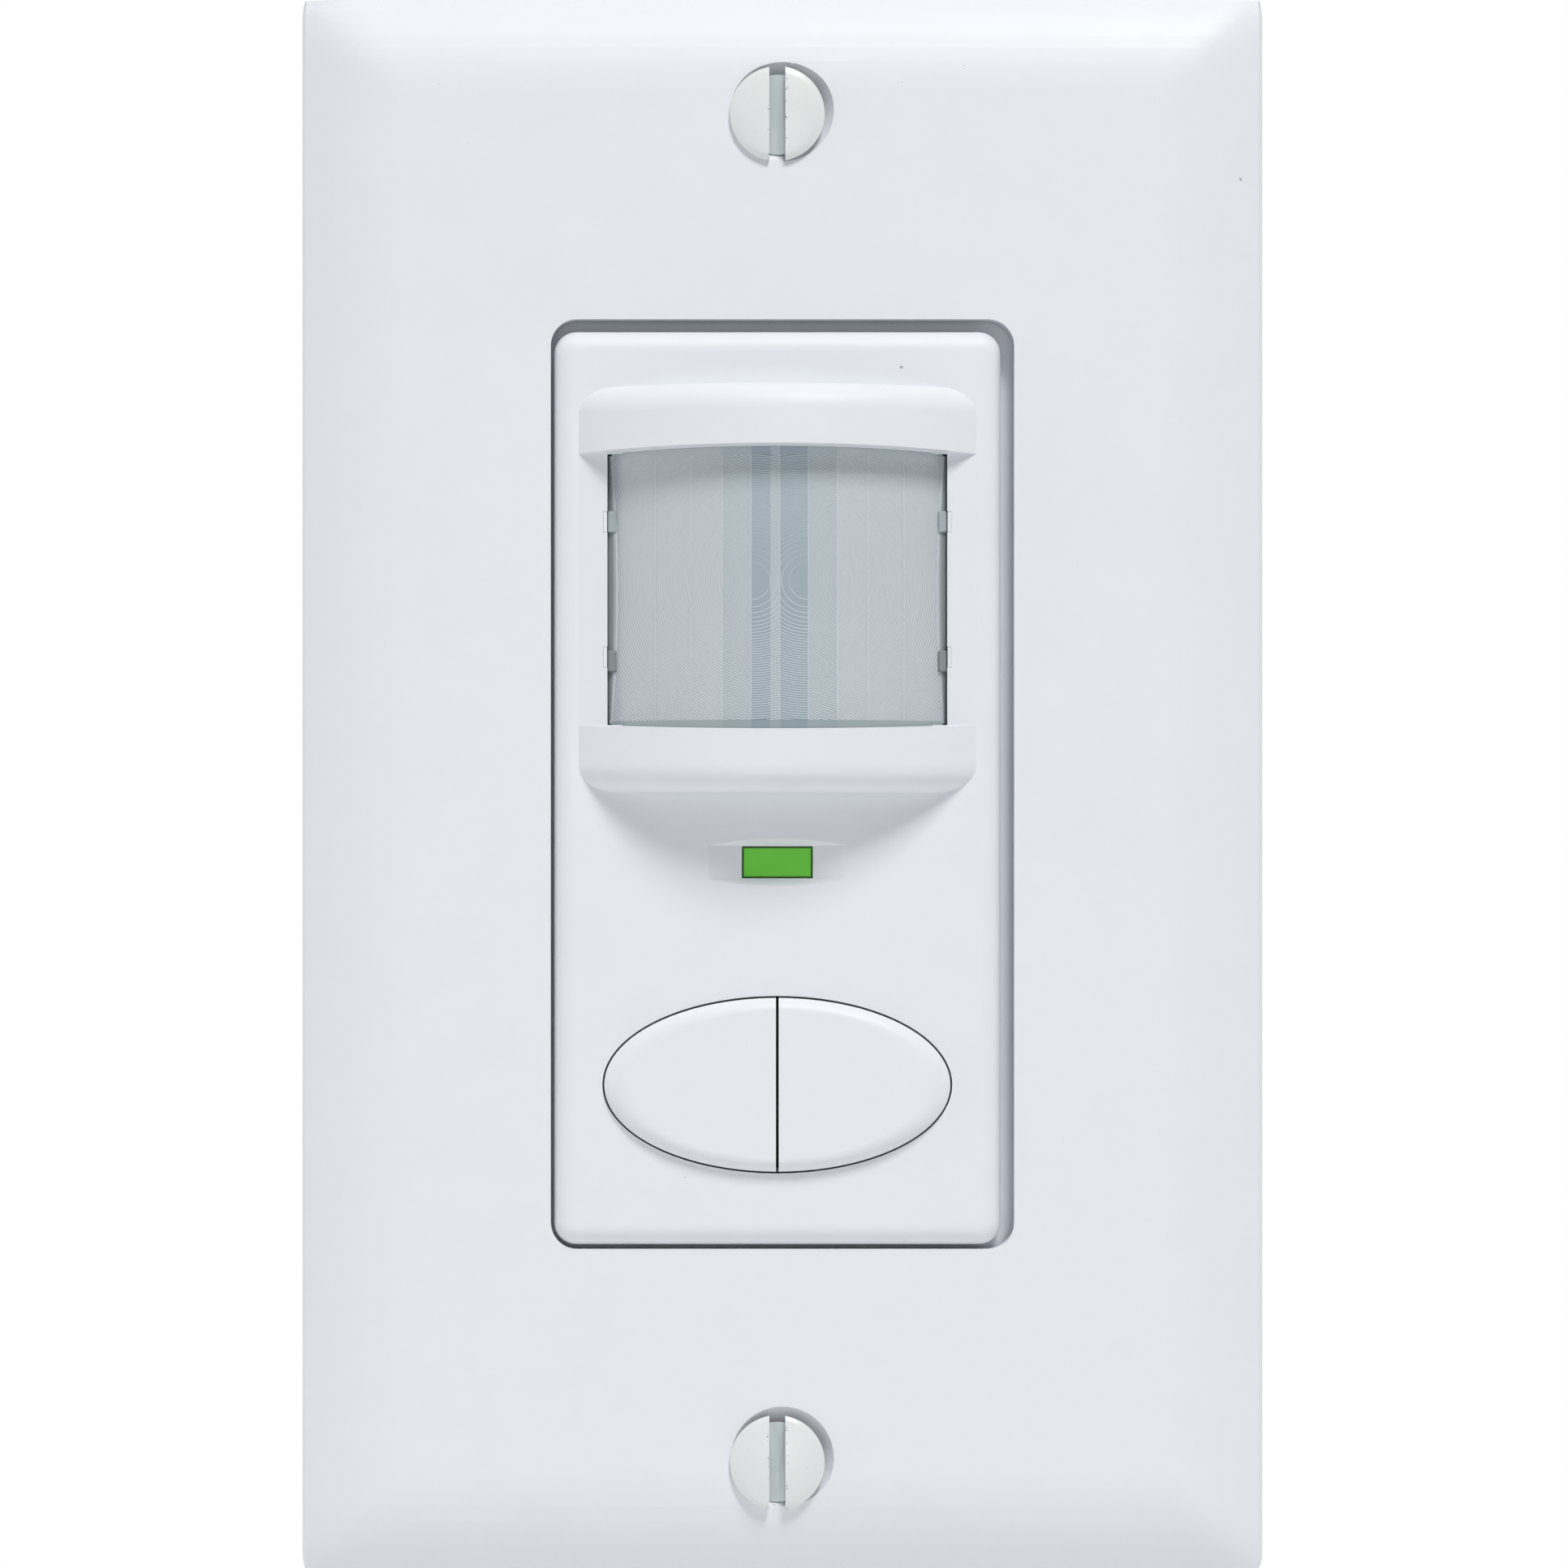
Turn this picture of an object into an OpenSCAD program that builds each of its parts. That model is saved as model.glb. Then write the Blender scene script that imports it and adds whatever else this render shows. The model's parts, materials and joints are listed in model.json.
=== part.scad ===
// Motion sensor light switch for a single wall box: hooded lens, indicator and split push button
// Sizes are in millimetres. The wall is the plane y = 0, the room is toward -y and z points up.

/* [Cover plate] */
// Width of the cover plate
plate_w = 69.85; // [64:0.05:90]
// Overhang of the cover plate beyond the strap at the top and bottom
plate_overhang = 4.75; // [3:0.05:18]
// Depth from the wall to the plate's flat front
plate_depth = 6; // [5.4:0.1:8]
// Thickness of the plate's front wall
plate_wall = 2.2; // [1.6:0.1:2.6]
// Thickness of the plate's rim on the wall
plate_rim = 2; // [1.2:0.1:3]
// Width of the rolled edge at the top and bottom
roll_end = 7.2; // [3:0.1:8]
// Width of the rolled edge at the sides
roll_side = 7.5; // [3:0.1:10]
// Fall of the front across a rolled edge
roll_drop = 2.4; // [1:0.1:3]
// Draft of the short wall below the rolled edge
edge_draft = 0.5; // [0.1:0.05:1]
// Corner radius of the plate
plate_corner_r = 1.5; // [0.5:0.1:4]
// Gap round the device face when the plate sits centred
opening_gap = 0.6; // [0.4:0.05:1.2]
// Sideways float of the fitted plate on its screws
plate_shift_x = 0.37; // [-0.4:0.01:0.4]
// Upward float of the fitted plate on its screws
plate_shift_z = 0.3; // [-0.35:0.01:0.35]
// Thickness of the ribs behind the plate
rib_t = 1.2; // [0.8:0.1:2]
// Gap between the ribs and the flange or the strap
rib_gap = 0.6; // [0.3:0.1:1]
// Wall of the screw bosses behind the plate
boss_wall = 0.75; // [0.6:0.05:1.5]

/* [Plate screws] */
// Distance from a box screw to the plate screw beyond it
screw_step = 6.75; // [6:0.01:8]
// Diameter of a plate screw's head
plate_head_d = 6.8; // [6:0.1:7.5]
// Height of the straight rim of a plate screw's head
plate_head_t = 0.2; // [0.1:0.05:0.4]
// Dome on a plate screw's head
plate_head_dome = 0.4; // [0.2:0.05:0.6]
// Angle of the cone under a plate screw's head
head_cone = 82; // [80:1:100]
// Diameter of the countersinks at the plate's front
sink_d = 7.4; // [7:0.1:8]
// Gap between the head and its countersink, beyond the plate's float
head_gap = 0.03; // [0.02:0.01:0.2]
// Width of the driver slot
slot_w = 1.15; // [0.8:0.05:1.4]
// Depth of the driver slot
slot_depth = 0.8; // [0.5:0.05:1]
// Length of a plate screw below its head
plate_screw_l = 11; // [8:0.5:14]
// Diameter of the screws' threads
screw_d = 3.5; // [3:0.1:4]

/* [Device face] */
// Width of the device face
face_w = 32.1; // [30:0.1:36]
// Height of the device face
face_h = 65.6; // [62:0.1:70]
// How far the face stands in front of the plate
face_proud = 0.8; // [0.2:0.1:2]
// Corner radius of the face
face_r = 1.6; // [1.5:0.1:4]
// Rounding of the face's front edge
face_edge_r = 1.4; // [0.5:0.1:1.4]
// Wall of the front cover
cover_wall = 2; // [1.6:0.1:2.4]
// Side wall of the front cover
cover_side = 1.6; // [1.2:0.1:2]
// Margin of the flange beyond the body screws, sideways
flange_side = 2.8; // [2:0.1:4]
// Margin of the flange beyond the body screws, up and down
flange_end = 4.15; // [3:0.05:5]
// Gap between the flange and the plate's front wall
flange_gap = 0.3; // [0.1:0.1:0.5]
// Gap between the flange and the box screws' heads
relief_gap = 0.4; // [0.2:0.1:1]
// Wall of the cover's screw posts
post_wall = 1.2; // [1:0.1:1.4]

/* [Hood and lens window] */
// Width of the hood where it meets the face
hood_w = 28.5; // [27:0.1:30]
// Height of the hood
hood_h = 29.1; // [27:0.1:32]
// Height of the hood's middle above the middle of the face
hood_z = 14.22; // [13:0.01:15]
// How far the hood stands in front of the face
hood_rise = 5.8; // [4:0.1:7]
// Rounding of the hood's top and bottom edges
hood_edge_r = 1.9; // [1:0.1:2.5]
// Wall of the hood in front of the lens
hood_wall = 1.7; // [1.2:0.1:2.2]
// Width of the lens window
window_w = 24.36; // [22:0.01:25]
// Height of the lens window at the face
window_h = 19.42; // [17:0.01:20]
// Outward slope of the window's upper and lower lips
lip_flare = 4; // [0:0.5:8]
// Rise of the cheeks beside the window
cheek_rise = 0.45; // [0.1:0.05:1]
// Height of the snap notches in the cheeks
notch_h = 1.5; // [1.2:0.1:2.5]
// Depth of the snap notches into the cheeks
notch_depth = 0.3; // [0.2:0.05:0.6]
// Reach of the lens's room behind the cheeks
pocket_lip = 0.7; // [0.4:0.1:1]

/* [Lens] */
// Thickness of the lens
lens_t = 1; // [0.6:0.1:1.4]
// Gap between the lens and the hood
lens_gap = 0.1; // [0.05:0.05:0.3]
// Height of the lens behind the window's lips
lens_h = 22.4; // [21:0.1:24]
// Gap between the lens and the cheeks
lens_side_gap = 0.3; // [0.1:0.05:0.6]
// Inward bow of the lens's side edges
lens_bow = 0.5; // [0.1:0.05:1]
// Thickness of the skirts beside the lens
skirt_t = 0.7; // [0.4:0.1:1]
// Depth of the skirts behind the front of the cover
skirt_drop = 0.5; // [0.3:0.1:0.8]
// Depth of the snap tabs' noses behind the front of the cover
nose_drop = 0.9; // [0.6:0.1:1.2]
// Distance of the snap tabs from the middle of the lens
tab_z = 4.85; // [3:0.05:6]
// Height of a snap tab
tab_h = 1; // [0.6:0.1:1.4]
// Depth of a snap tab
tab_t = 1.1; // [0.8:0.1:1.4]
// Reach of a snap tab behind the cheek
tab_reach = 0.7; // [0.4:0.1:1]
// Thickness of the lens's side legs
leg_t = 0.9; // [0.7:0.1:1.2]
// Length of a leg beyond its outer snap tab
leg_end = 1; // [0.5:0.1:2]
// Facet borders on the back of the lens, from the middle outward
facet_edges = [2, 4.1, 6.4, 8.8];

/* [Lens retainer] */
// Thickness of the retainer's rim behind the lens
retainer_t = 1.2; // [0.8:0.1:1.5]
// Overlap of the retainer's rim beyond the lens
retainer_lip = 0.6; // [0.4:0.1:1]
// Corner radius of the retainer
retainer_r = 1; // [0.5:0.1:2]
// Gap between the retainer, the lens and the strap
retainer_gap = 0.1; // [0.05:0.05:0.2]
// Gap between the shade and the lens's legs
shade_gap = 0.3; // [0.2:0.1:0.6]
// Wall of the shade round the sensor
shade_wall = 1.2; // [0.8:0.1:1.6]

/* [Indicator] */
// Width of the indicator
led_w = 4.9; // [3:0.1:7]
// Height of the indicator
led_h = 2.1; // [1.5:0.1:2.6]
// Height of the indicator's middle below the middle of the face
led_drop = 5.33; // [4.5:0.01:6]
// Gap round the indicator
led_gap = 0.1; // [0.05:0.05:0.2]
// Width of the scoop round the indicator
scoop_w = 9.9; // [8:0.1:12]
// Height of the scoop
scoop_h = 3.4; // [2.8:0.1:4]
// Depth of the scoop in its middle
scoop_depth = 0.7; // [0.3:0.05:0.9]
// Slope length of the scoop's upper and lower walls
scoop_wall = 0.5; // [0.1:0.05:0.6]
// Depth of the indicator's front below the scoop's floor
led_recess = 0.05; // [0:0.05:0.3]
// Overlap of the indicator's flange behind the cover
led_flange = 0.9; // [0.5:0.1:1.2]
// Thickness of the indicator's flange
led_flange_t = 1; // [0.6:0.1:1.5]
// Gap between the indicator and its light source
led_air = 0.2; // [0.1:0.1:0.6]

/* [Buttons] */
// Width of the button pair
button_w = 24.8; // [20:0.1:26]
// Height of the button pair
button_h = 12.44; // [10:0.01:14]
// Height of the buttons' middle below the middle of the face
button_drop = 21.28; // [19:0.01:22]
// How far the buttons stand in front of the face
button_proud = 1; // [0.7:0.1:1.5]
// Fall of a button's rounded edge
button_edge_drop = 0.7; // [0.3:0.05:0.9]
// Width of a button's rounded edge at the ends of the pair
button_edge_w = 1.8; // [1:0.1:2.5]
// Gap round the button pair
button_gap = 0.15; // [0.1:0.05:0.4]
// Gap between the two buttons
split_gap = 0.2; // [0.15:0.05:0.4]
// Wall of a button
button_wall = 1.2; // [0.9:0.1:1.6]
// Width of the stop rim behind the cover
stop_w = 0.9; // [0.6:0.1:1.2]
// Thickness of the stop rim
stop_t = 1; // [0.8:0.1:1.3]
// Travel of a button
button_travel = 0.5; // [0.3:0.05:0.6]
// Distance of a button's stem from the split
stem_x = 5.6; // [4.5:0.1:7]
// Diameter of a button's stem
stem_d = 3.2; // [2:0.1:4]
// Gap between a stem and its switch plunger
stem_gap = 0.05; // [0.02:0.01:0.1]

/* [Tactile switches] */
// Side of a switch body
switch_side = 6; // [5:0.1:7]
// Height of a switch body
switch_h = 3.6; // [3:0.1:4.5]
// Diameter of a switch plunger
plunger_d = 3.4; // [2.5:0.1:4]
// Height of a plunger above its body
plunger_h = 1.2; // [0.8:0.1:2]
// Gap round a plunger
plunger_gap = 0.2; // [0.15:0.05:0.3]
// Depth of a plunger inside its body
plunger_in = 1; // [0.6:0.1:1.5]

/* [Mounting strap] */
// Distance between the two box screws
box_screw_pitch = 83.34; // [80:0.01:85]
// Distance from a plate screw to the strap's end
strap_end = 3.98; // [3.5:0.01:6]
// Width of the strap's ends
strap_end_w = 33; // [28:0.5:36]
// Margin of the strap at the body's sides
strap_side = 1.15; // [0.5:0.05:2.5]
// Margin of the strap above and below the body
strap_margin = 2.2; // [1:0.1:3]
// Corner radius of the strap
strap_r = 2; // [1:0.1:3]
// Thickness of the strap
strap_t = 1.2; // [1:0.1:1.5]
// Width of the opening through the strap
strap_open_w = 27.2; // [26.5:0.1:27.6]
// Web between the opening and the body screws' holes
strap_web = 1.5; // [1:0.1:3]
// Length of a box screw slot
box_slot_l = 7.5; // [6:0.1:9]
// Width of a box screw slot
box_slot_w = 4; // [3.8:0.1:4.5]
// Length of a box screw below its head
box_screw_l = 25; // [18:1:32]
// Diameter of a box screw's head
box_head_d = 6.2; // [5.5:0.1:6.2]
// Height of a box screw's head
box_head_t = 2; // [1.5:0.1:2.2]
// Diameter of a box screw's neck in the strap
box_neck_d = 2.8; // [2.4:0.1:3]
// Diameter of the ear holes near the strap's corners
ear_hole_d = 4; // [3:0.1:5]
// Distance of an ear hole from the strap's side
ear_inset = 4.5; // [3.5:0.1:6]
// Width of the slots that let an ear break off
ear_slot_w = 1.2; // [0.8:0.1:2]
// Length of the slots that let an ear break off
ear_slot_l = 5; // [3:0.1:6]
// Distance of the slots from the middle of an ear hole
ear_slot_gap = 3.9; // [3:0.1:5]
// Gap round a screw in its threaded hole
thread_gap = 0.05; // [0.02:0.01:0.1]
// Gap round a screw in a plain hole
hole_gap = 0.15; // [0.1:0.05:0.4]

/* [Ground tab] */
// Width of the ground tab
tab_w = 8; // [7:0.5:10]
// Length of the ground tab behind the strap
tab_l = 9; // [8:0.5:12]
// Distance of the ground tab from the strap's middle
tab_x = 10.5; // [9.5:0.5:12]
// Diameter of the ground screw's head
ground_head_d = 6.4; // [5.5:0.1:7]
// Height of the ground screw's head
ground_head_t = 2; // [1.5:0.1:2.5]

/* [Rear body] */
// Width of the rear body
body_w = 42.7; // [41:0.1:44]
// Height of the rear body
body_h = 69.6; // [69:0.1:71]
// Depth of the rear body behind the strap
body_depth = 29.6; // [29:0.1:36]
// Wall of the rear body
body_wall = 1.8; // [1.4:0.1:2.2]
// Corner radius of the rear body
body_r = 3.2; // [2:0.1:5]
// Rounding of the rear edge
body_edge_r = 2; // [0.5:0.1:2]
// Distance of the body screws from the middle, sideways
column_x = 15.2; // [14.8:0.1:15.4]
// Distance of the body screws from the body's ends
column_inset = 4.2; // [4:0.1:5]
// Diameter of a screw column
column_d = 8; // [7.6:0.1:8.4]
// Depth of the screw seats behind the strap
column_seat = 10; // [6:0.5:12]
// Diameter of a body screw
body_screw_d = 2.9; // [2.5:0.1:3.2]
// Diameter of a body screw's head
body_head_d = 5.4; // [5:0.1:5.6]
// Height of a body screw's head
body_head_t = 2; // [1.5:0.1:2.5]
// Length of a body screw below its head
body_screw_l = 13; // [12:0.1:13.2]
// Depth of the cover's screw hole beyond the screw's tip
blind_gap = 0.2; // [0.1:0.1:0.3]
// Width of the driver recess in a body screw
cross_w = 0.8; // [0.6:0.1:1]
// Length of the driver recess in a body screw
cross_l = 3.2; // [2.5:0.1:4]
// Depth of the driver recess in a body screw
cross_depth = 1; // [0.6:0.1:1.4]
// Gap round a body screw's head in its column
column_gap = 0.3; // [0.2:0.1:0.5]
// Width of the label field on the back
label_w = 24; // [16:1:28]
// Height of the label field on the back
label_h = 30; // [20:1:40]
// Depth of the label field
label_depth = 0.3; // [0.2:0.1:0.6]
// Length of the wire stripping gauge below the label field
gauge_l = 13; // [10:0.5:16]
// Width of the wire stripping gauge
gauge_w = 1.6; // [1:0.1:2.5]
// Depth of the wire stripping gauge
gauge_depth = 0.8; // [0.4:0.1:1]

/* [Terminals] */
// Distance of the terminals from the body's middle, up and down
terminal_z = 14; // [13:0.5:15]
// Height of a terminal pocket
pocket_h = 12; // [11:0.5:13]
// Distance of a pocket's back wall from the body's middle
pocket_x = 16.9; // [16.8:0.1:17.5]
// Thickness of a pocket's walls
pocket_wall = 1.4; // [1:0.1:1.6]
// Width of a terminal plate
plate_term_w = 9; // [8:0.1:10]
// Thickness of a terminal plate
plate_term_t = 1.2; // [0.8:0.1:1.4]
// Diameter of a terminal screw's head
term_head_d = 6.6; // [6:0.1:7]
// Height of a terminal screw's head
term_head_t = 1.8; // [1.4:0.1:2.2]
// Reach of a terminal screw behind its pocket's wall
term_screw_end = 0.8; // [0.4:0.1:1]
// Gap between a terminal plate and its pocket's front
term_gap = 1; // [0.5:0.1:2]
// Width of a terminal plate's tail
tail_w = 4; // [3:0.1:5]
// Reach of a tail behind its pocket's wall
tail_reach = 0.6; // [0.3:0.1:1]
// Gap round a tail in the pocket's wall
tail_gap = 0.1; // [0.05:0.05:0.2]

/* [Circuit boards] */
// Thickness of the boards
board_t = 1.6; // [1.2:0.1:2]
// Distance of the front board behind the strap
front_board_y = 8; // [7:0.1:8.4]
// Distance of the rear board behind the strap
rear_board_y = 24; // [23:0.1:24.2]
// Gap between a board and the body's wall
board_gap = 0.35; // [0.2:0.05:0.6]
// Diameter of the posts below the rear board
post_d = 4; // [3:0.5:6]
// Distance of a post from the body screw beside it, sideways
post_inset = 4; // [3.5:0.1:6]
// Distance of a post above or below the terminal pockets
post_gap = 3; // [2.2:0.1:4]

/* [Sensor] */
// Diameter of the sensor can
can_d = 8.2; // [7:0.1:9]
// Height of the sensor can
can_h = 4.2; // [3.5:0.1:5]
// Diameter of the can's foot
can_foot_d = 9.1; // [9:0.1:10]
// Side of the sensor's window
can_window = 3.6; // [2.5:0.1:4.5]
// Thickness of the sensor's window
can_window_t = 0.4; // [0.3:0.05:0.5]
// Rounding of the can's front edge
can_edge_r = 0.5; // [0.2:0.1:1]
// Height of the can's foot
can_foot_t = 0.6; // [0.4:0.1:1]
// Gap round the sensor's window
can_window_gap = 0.05; // [0.02:0.01:0.1]

/* [Parts on the boards] */
// Half the space between the two rows of parts
row_split = 3; // [2.5:0.1:4]
// Space between the parts in a row
part_gap = 1.5; // [0.8:0.1:2]
// Rounding of the cases' upright edges
case_r = 0.6; // [0.2:0.1:1]
// Size of a relay across the body
relay_w = 10; // [9:0.5:10]
// Size of a relay up the body
relay_l = 18; // [16:0.5:18]
// Height of a relay on its board
relay_h = 12.5; // [10:0.5:13]
// Diameter of the bulk capacitor
bulk_d = 10; // [8:0.5:10]
// Height of the bulk capacitor
bulk_h = 12; // [10:0.5:13]
// Width of the film capacitor
film_w = 9; // [7:0.5:10]
// Length of the film capacitor
film_l = 12; // [10:0.5:12]
// Height of the film capacitor
film_h = 11; // [8:0.5:13]
// Diameter of the varistor
varistor_d = 10; // [8:0.5:12]
// Thickness of the varistor
varistor_t = 4.4; // [3:0.1:5]
// Rounding of the varistor's edges
varistor_r = 1.2; // [0.5:0.1:1.4]
// Outer diameter of the choke core
choke_d = 11; // [10:0.5:11]
// Inner diameter of the choke core
choke_bore = 6; // [5.5:0.1:6.5]
// Height of the choke core
choke_h = 4.6; // [4:0.1:5.5]
// Diameter of the choke's wire
wire_d = 0.7; // [0.5:0.05:0.8]
// Gap between the wire and the core
wire_gap = 0.15; // [0.1:0.05:0.3]
// Turns on the choke
choke_turns = 12; // [8:1:12]
// Diameter of the fuse
fuse_d = 5.2; // [4:0.1:5.2]
// Length of the fuse
fuse_l = 20; // [16:0.5:20]
// Length of a fuse cap
fuse_cap_l = 5; // [4:0.5:6]
// Wall of a fuse cap
fuse_cap_t = 0.3; // [0.2:0.1:0.5]
// Distance of the fuse from the body screws, toward the middle
fuse_inset = 3.5; // [3:0.1:5]
// Pins in the header between the boards
header_pins_n = 6; // [4:1:7]
// Distance between header pins
header_pitch = 2.54; // [2:0.01:2.54]
// Width of a header pin
header_pin = 0.64; // [0.5:0.01:0.8]
// Gap round a header pin
pin_gap = 0.05; // [0.02:0.01:0.1]
// Side of the header's strip
header_side = 2.5; // [2:0.1:3]
// Distance of the header from the body screws, toward the middle
header_inset = 2; // [1.5:0.1:4]
// Side of the controller
chip_side = 7; // [5:0.5:8]
// Height of the controller
chip_h = 1.2; // [0.8:0.1:1.8]
// Distance of the controller from the switch behind the left button, outward
chip_x = 2; // [1:0.1:3]
// Width of the indicator's light source
lamp_w = 3.2; // [2:0.1:4]
// Size of the indicator's light source up the board
lamp_l = 1.6; // [1:0.1:2]
// Height of the indicator's light source
lamp_h = 1.2; // [0.8:0.1:1.3]

/* [Hidden] */
$fn = 96;
far = 200;
weld = 0.1;
function arc_r(half, rise) = (half * half + rise * rise) / (2 * rise);
column_z = body_h / 2 - column_inset;
plate_screw_pitch = box_screw_pitch + 2 * screw_step;
strap_h = plate_screw_pitch + 2 * strap_end;
strap_mid_w = body_w + 2 * strap_side;
strap_mid_h = body_h + 2 * strap_margin;
strap_open_h = 2 * (column_z - body_screw_d / 2 - hole_gap - strap_web);
strap_front = -strap_t;
ground_z = -strap_mid_h / 2 - strap_t;
ear_x = strap_end_w / 2 - ear_inset;
plate_h = strap_h + 2 * plate_overhang;
plate_front = -plate_depth;
plate_back = plate_front + plate_wall;
plate_float = norm([plate_shift_x, plate_shift_z]);
opening_w = face_w + 2 * opening_gap;
opening_h = face_h + 2 * opening_gap;
opening_r = face_r + opening_gap / 2;
plate_hole = screw_d / 2 + plate_float + hole_gap;
cone_slope = tan(head_cone / 2);
cone_l = (plate_head_d - screw_d) / 2 / cone_slope;
sink_depth = (sink_d - screw_d) / 2 / cone_slope;
plate_seat = plate_front + (sink_d / 2 - plate_head_d / 2 - plate_float - head_gap) / cone_slope;
plate_boss = plate_hole + boss_wall;
flange_w = 2 * (column_x + flange_side);
flange_h = 2 * (column_z + flange_end);
flange_front = plate_back + flange_gap;
rib_x = flange_w / 2 + plate_float + rib_gap;
rib_l = face_h - 2 * roll_end;
face_front = plate_front - face_proud;
face_back = face_front + cover_wall;
cover_post_r = body_screw_d / 2 + post_wall;
hood_r = arc_r(hood_w / 2, hood_rise);
hood_axis = face_front - hood_rise + hood_r;
pocket_r = hood_r - hood_wall;
lens_pocket_w = window_w + 2 * pocket_lip;
lens_r = pocket_r - lens_gap;
lens_half = window_w / 2 - lens_side_gap;
lens_bow_r = arc_r(window_h / 2, lens_bow);
leg_out = lens_half - lens_bow - lens_gap;
leg_in = leg_out - leg_t;
rim_back = strap_front - retainer_gap;
rim_front = rim_back - retainer_t;
leg_back = rim_front - retainer_gap;
shade_w = 2 * (leg_in - shade_gap);
shade_h = window_h - shade_gap;
scoop_r = arc_r(scoop_w / 2, scoop_depth);
pipe_front = face_front + scoop_depth + led_recess;
button_z = -button_drop;
button_front = face_front - button_proud;
button_back = face_back + stop_t;
button_edge_r = arc_r(button_edge_w, button_edge_drop);
button_ratio = button_h / button_w;
plunger_front = front_board_y - switch_h - plunger_h;
stem_end = plunger_front - stem_gap;
body_in_w = body_w - 2 * body_wall;
body_in_h = body_h - 2 * body_wall;
floor_y = body_depth - body_wall;
column_bore = body_head_d / 2 + column_gap;
front_board_back = front_board_y + board_t;
pocket_front = front_board_back + pocket_wall;
pocket_in = pocket_x - pocket_wall;
tail_front = rear_board_y - plate_term_t;
terminal_y = (pocket_front + tail_front) / 2;
row_x = relay_w / 2 + row_split;
fuse_z = column_z - fuse_inset;
relay_z = fuse_z - fuse_d / 2 - part_gap - relay_l / 2;
film_z = relay_z - relay_l / 2 - part_gap - film_l / 2;
bulk_z = relay_z - relay_l / 2 - part_gap - bulk_d / 2;
varistor_z = film_z - film_l / 2 - part_gap - varistor_t / 2;
choke_out = choke_d / 2 + wire_gap + wire_d;
choke_z = bulk_z - bulk_d / 2 - part_gap - choke_out;
header_z = header_inset - column_z;

// Gives a drawing, with x across and y up, a depth from y0 to y1
module slab(y0, y1) {
    translate([0, y1, 0]) rotate([90, 0, 0]) linear_extrude(y1 - y0) children();
}

// Draws a drawing of y and z out sideways over a length, centred on x = 0
module across(length) {
    translate([-length / 2, 0, 0]) rotate([90, 0, 90]) linear_extrude(length) children();
}

// Draws a drawing of x and y upward over a length, centred on z = 0
module upright(length) {
    translate([0, 0, -length / 2]) linear_extrude(length) children();
}

// A round bar through the wall's direction
module pin(x, z, y0, y1, r) {
    translate([x, y1, z]) rotate([90, 0, 0]) cylinder(h = y1 - y0, r = r);
}

// A tapered bar through the wall's direction, of radius r0 at y0 and r1 at y1
module taper(x, z, y0, y1, r0, r1) {
    translate([x, y1, z]) rotate([90, 0, 0]) cylinder(h = y1 - y0, r1 = r1, r2 = r0);
}

// A box from its low corner to its high corner
module block(low, high) {
    translate(low) cube(high - low);
}

// A rectangle with round corners
module round_rect(w, h, r) {
    square([w - 2 * r, h], center = true);
    square([w, h - 2 * r], center = true);
    for (sx = [-1, 1], sy = [-1, 1])
        translate([sx * (w / 2 - r), sy * (h / 2 - r)]) circle(r);
}

// A quarter section: reach outward, depth toward -y, with the outer front corner rounded
module edge_section(reach, depth, r) {
    translate([0, -depth]) square([reach - r, depth]);
    translate([0, -depth + r]) square([reach, depth - r]);
    translate([reach - r, -depth + r])
        intersection() {
            circle(r);
            translate([0, -r]) square(r);
        }
}

// A block with round corners and a rounded front edge, its back on y = back
module rounded_block(w, h, front, back, r, edge) {
    depth = back - front;
    translate([0, back, 0]) {
        upright(h - 2 * r)
            for (side = [0, 1])
                mirror([side, 0]) edge_section(w / 2, depth, edge);
        for (side = [0, 1])
            mirror([0, 0, side]) translate([0, 0, h / 2 - r])
                across(w - 2 * r) rotate(90) mirror([0, 1]) edge_section(r, depth, edge);
        for (sx = [0, 1], sz = [0, 1])
            mirror([sx, 0, 0]) mirror([0, 0, sz])
                translate([w / 2 - r, 0, h / 2 - r]) rotate([90, 0, 0])
                    rotate_extrude(angle = 90) mirror([0, 1]) edge_section(r, depth, edge);
    }
}

// Cross section of the plate: flat front, rolled edges and short drafted walls
module plate_section(half, depth, roll) {
    shoulder = half - edge_draft;
    flat = shoulder - roll;
    wall = depth - roll_drop;
    r = arc_r(roll, roll_drop);
    polygon([[-half, 0], [half, 0], [shoulder, -wall], [-shoulder, -wall]]);
    translate([-flat, -depth]) square([2 * flat, roll_drop]);
    for (side = [0, 1])
        mirror([side, 0])
            intersection() {
                translate([flat, r - depth]) circle(r);
                translate([flat, -depth - 1]) square([roll, roll_drop + 1]);
            }
}

// A plate body with both pairs of rolled edges mitred at the corners
module plate_form(w, h, depth) {
    intersection() {
        upright(far) plate_section(w / 2, depth, roll_side);
        across(far) rotate(90) mirror([0, 1]) plate_section(h / 2, depth, roll_end);
    }
}

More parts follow.
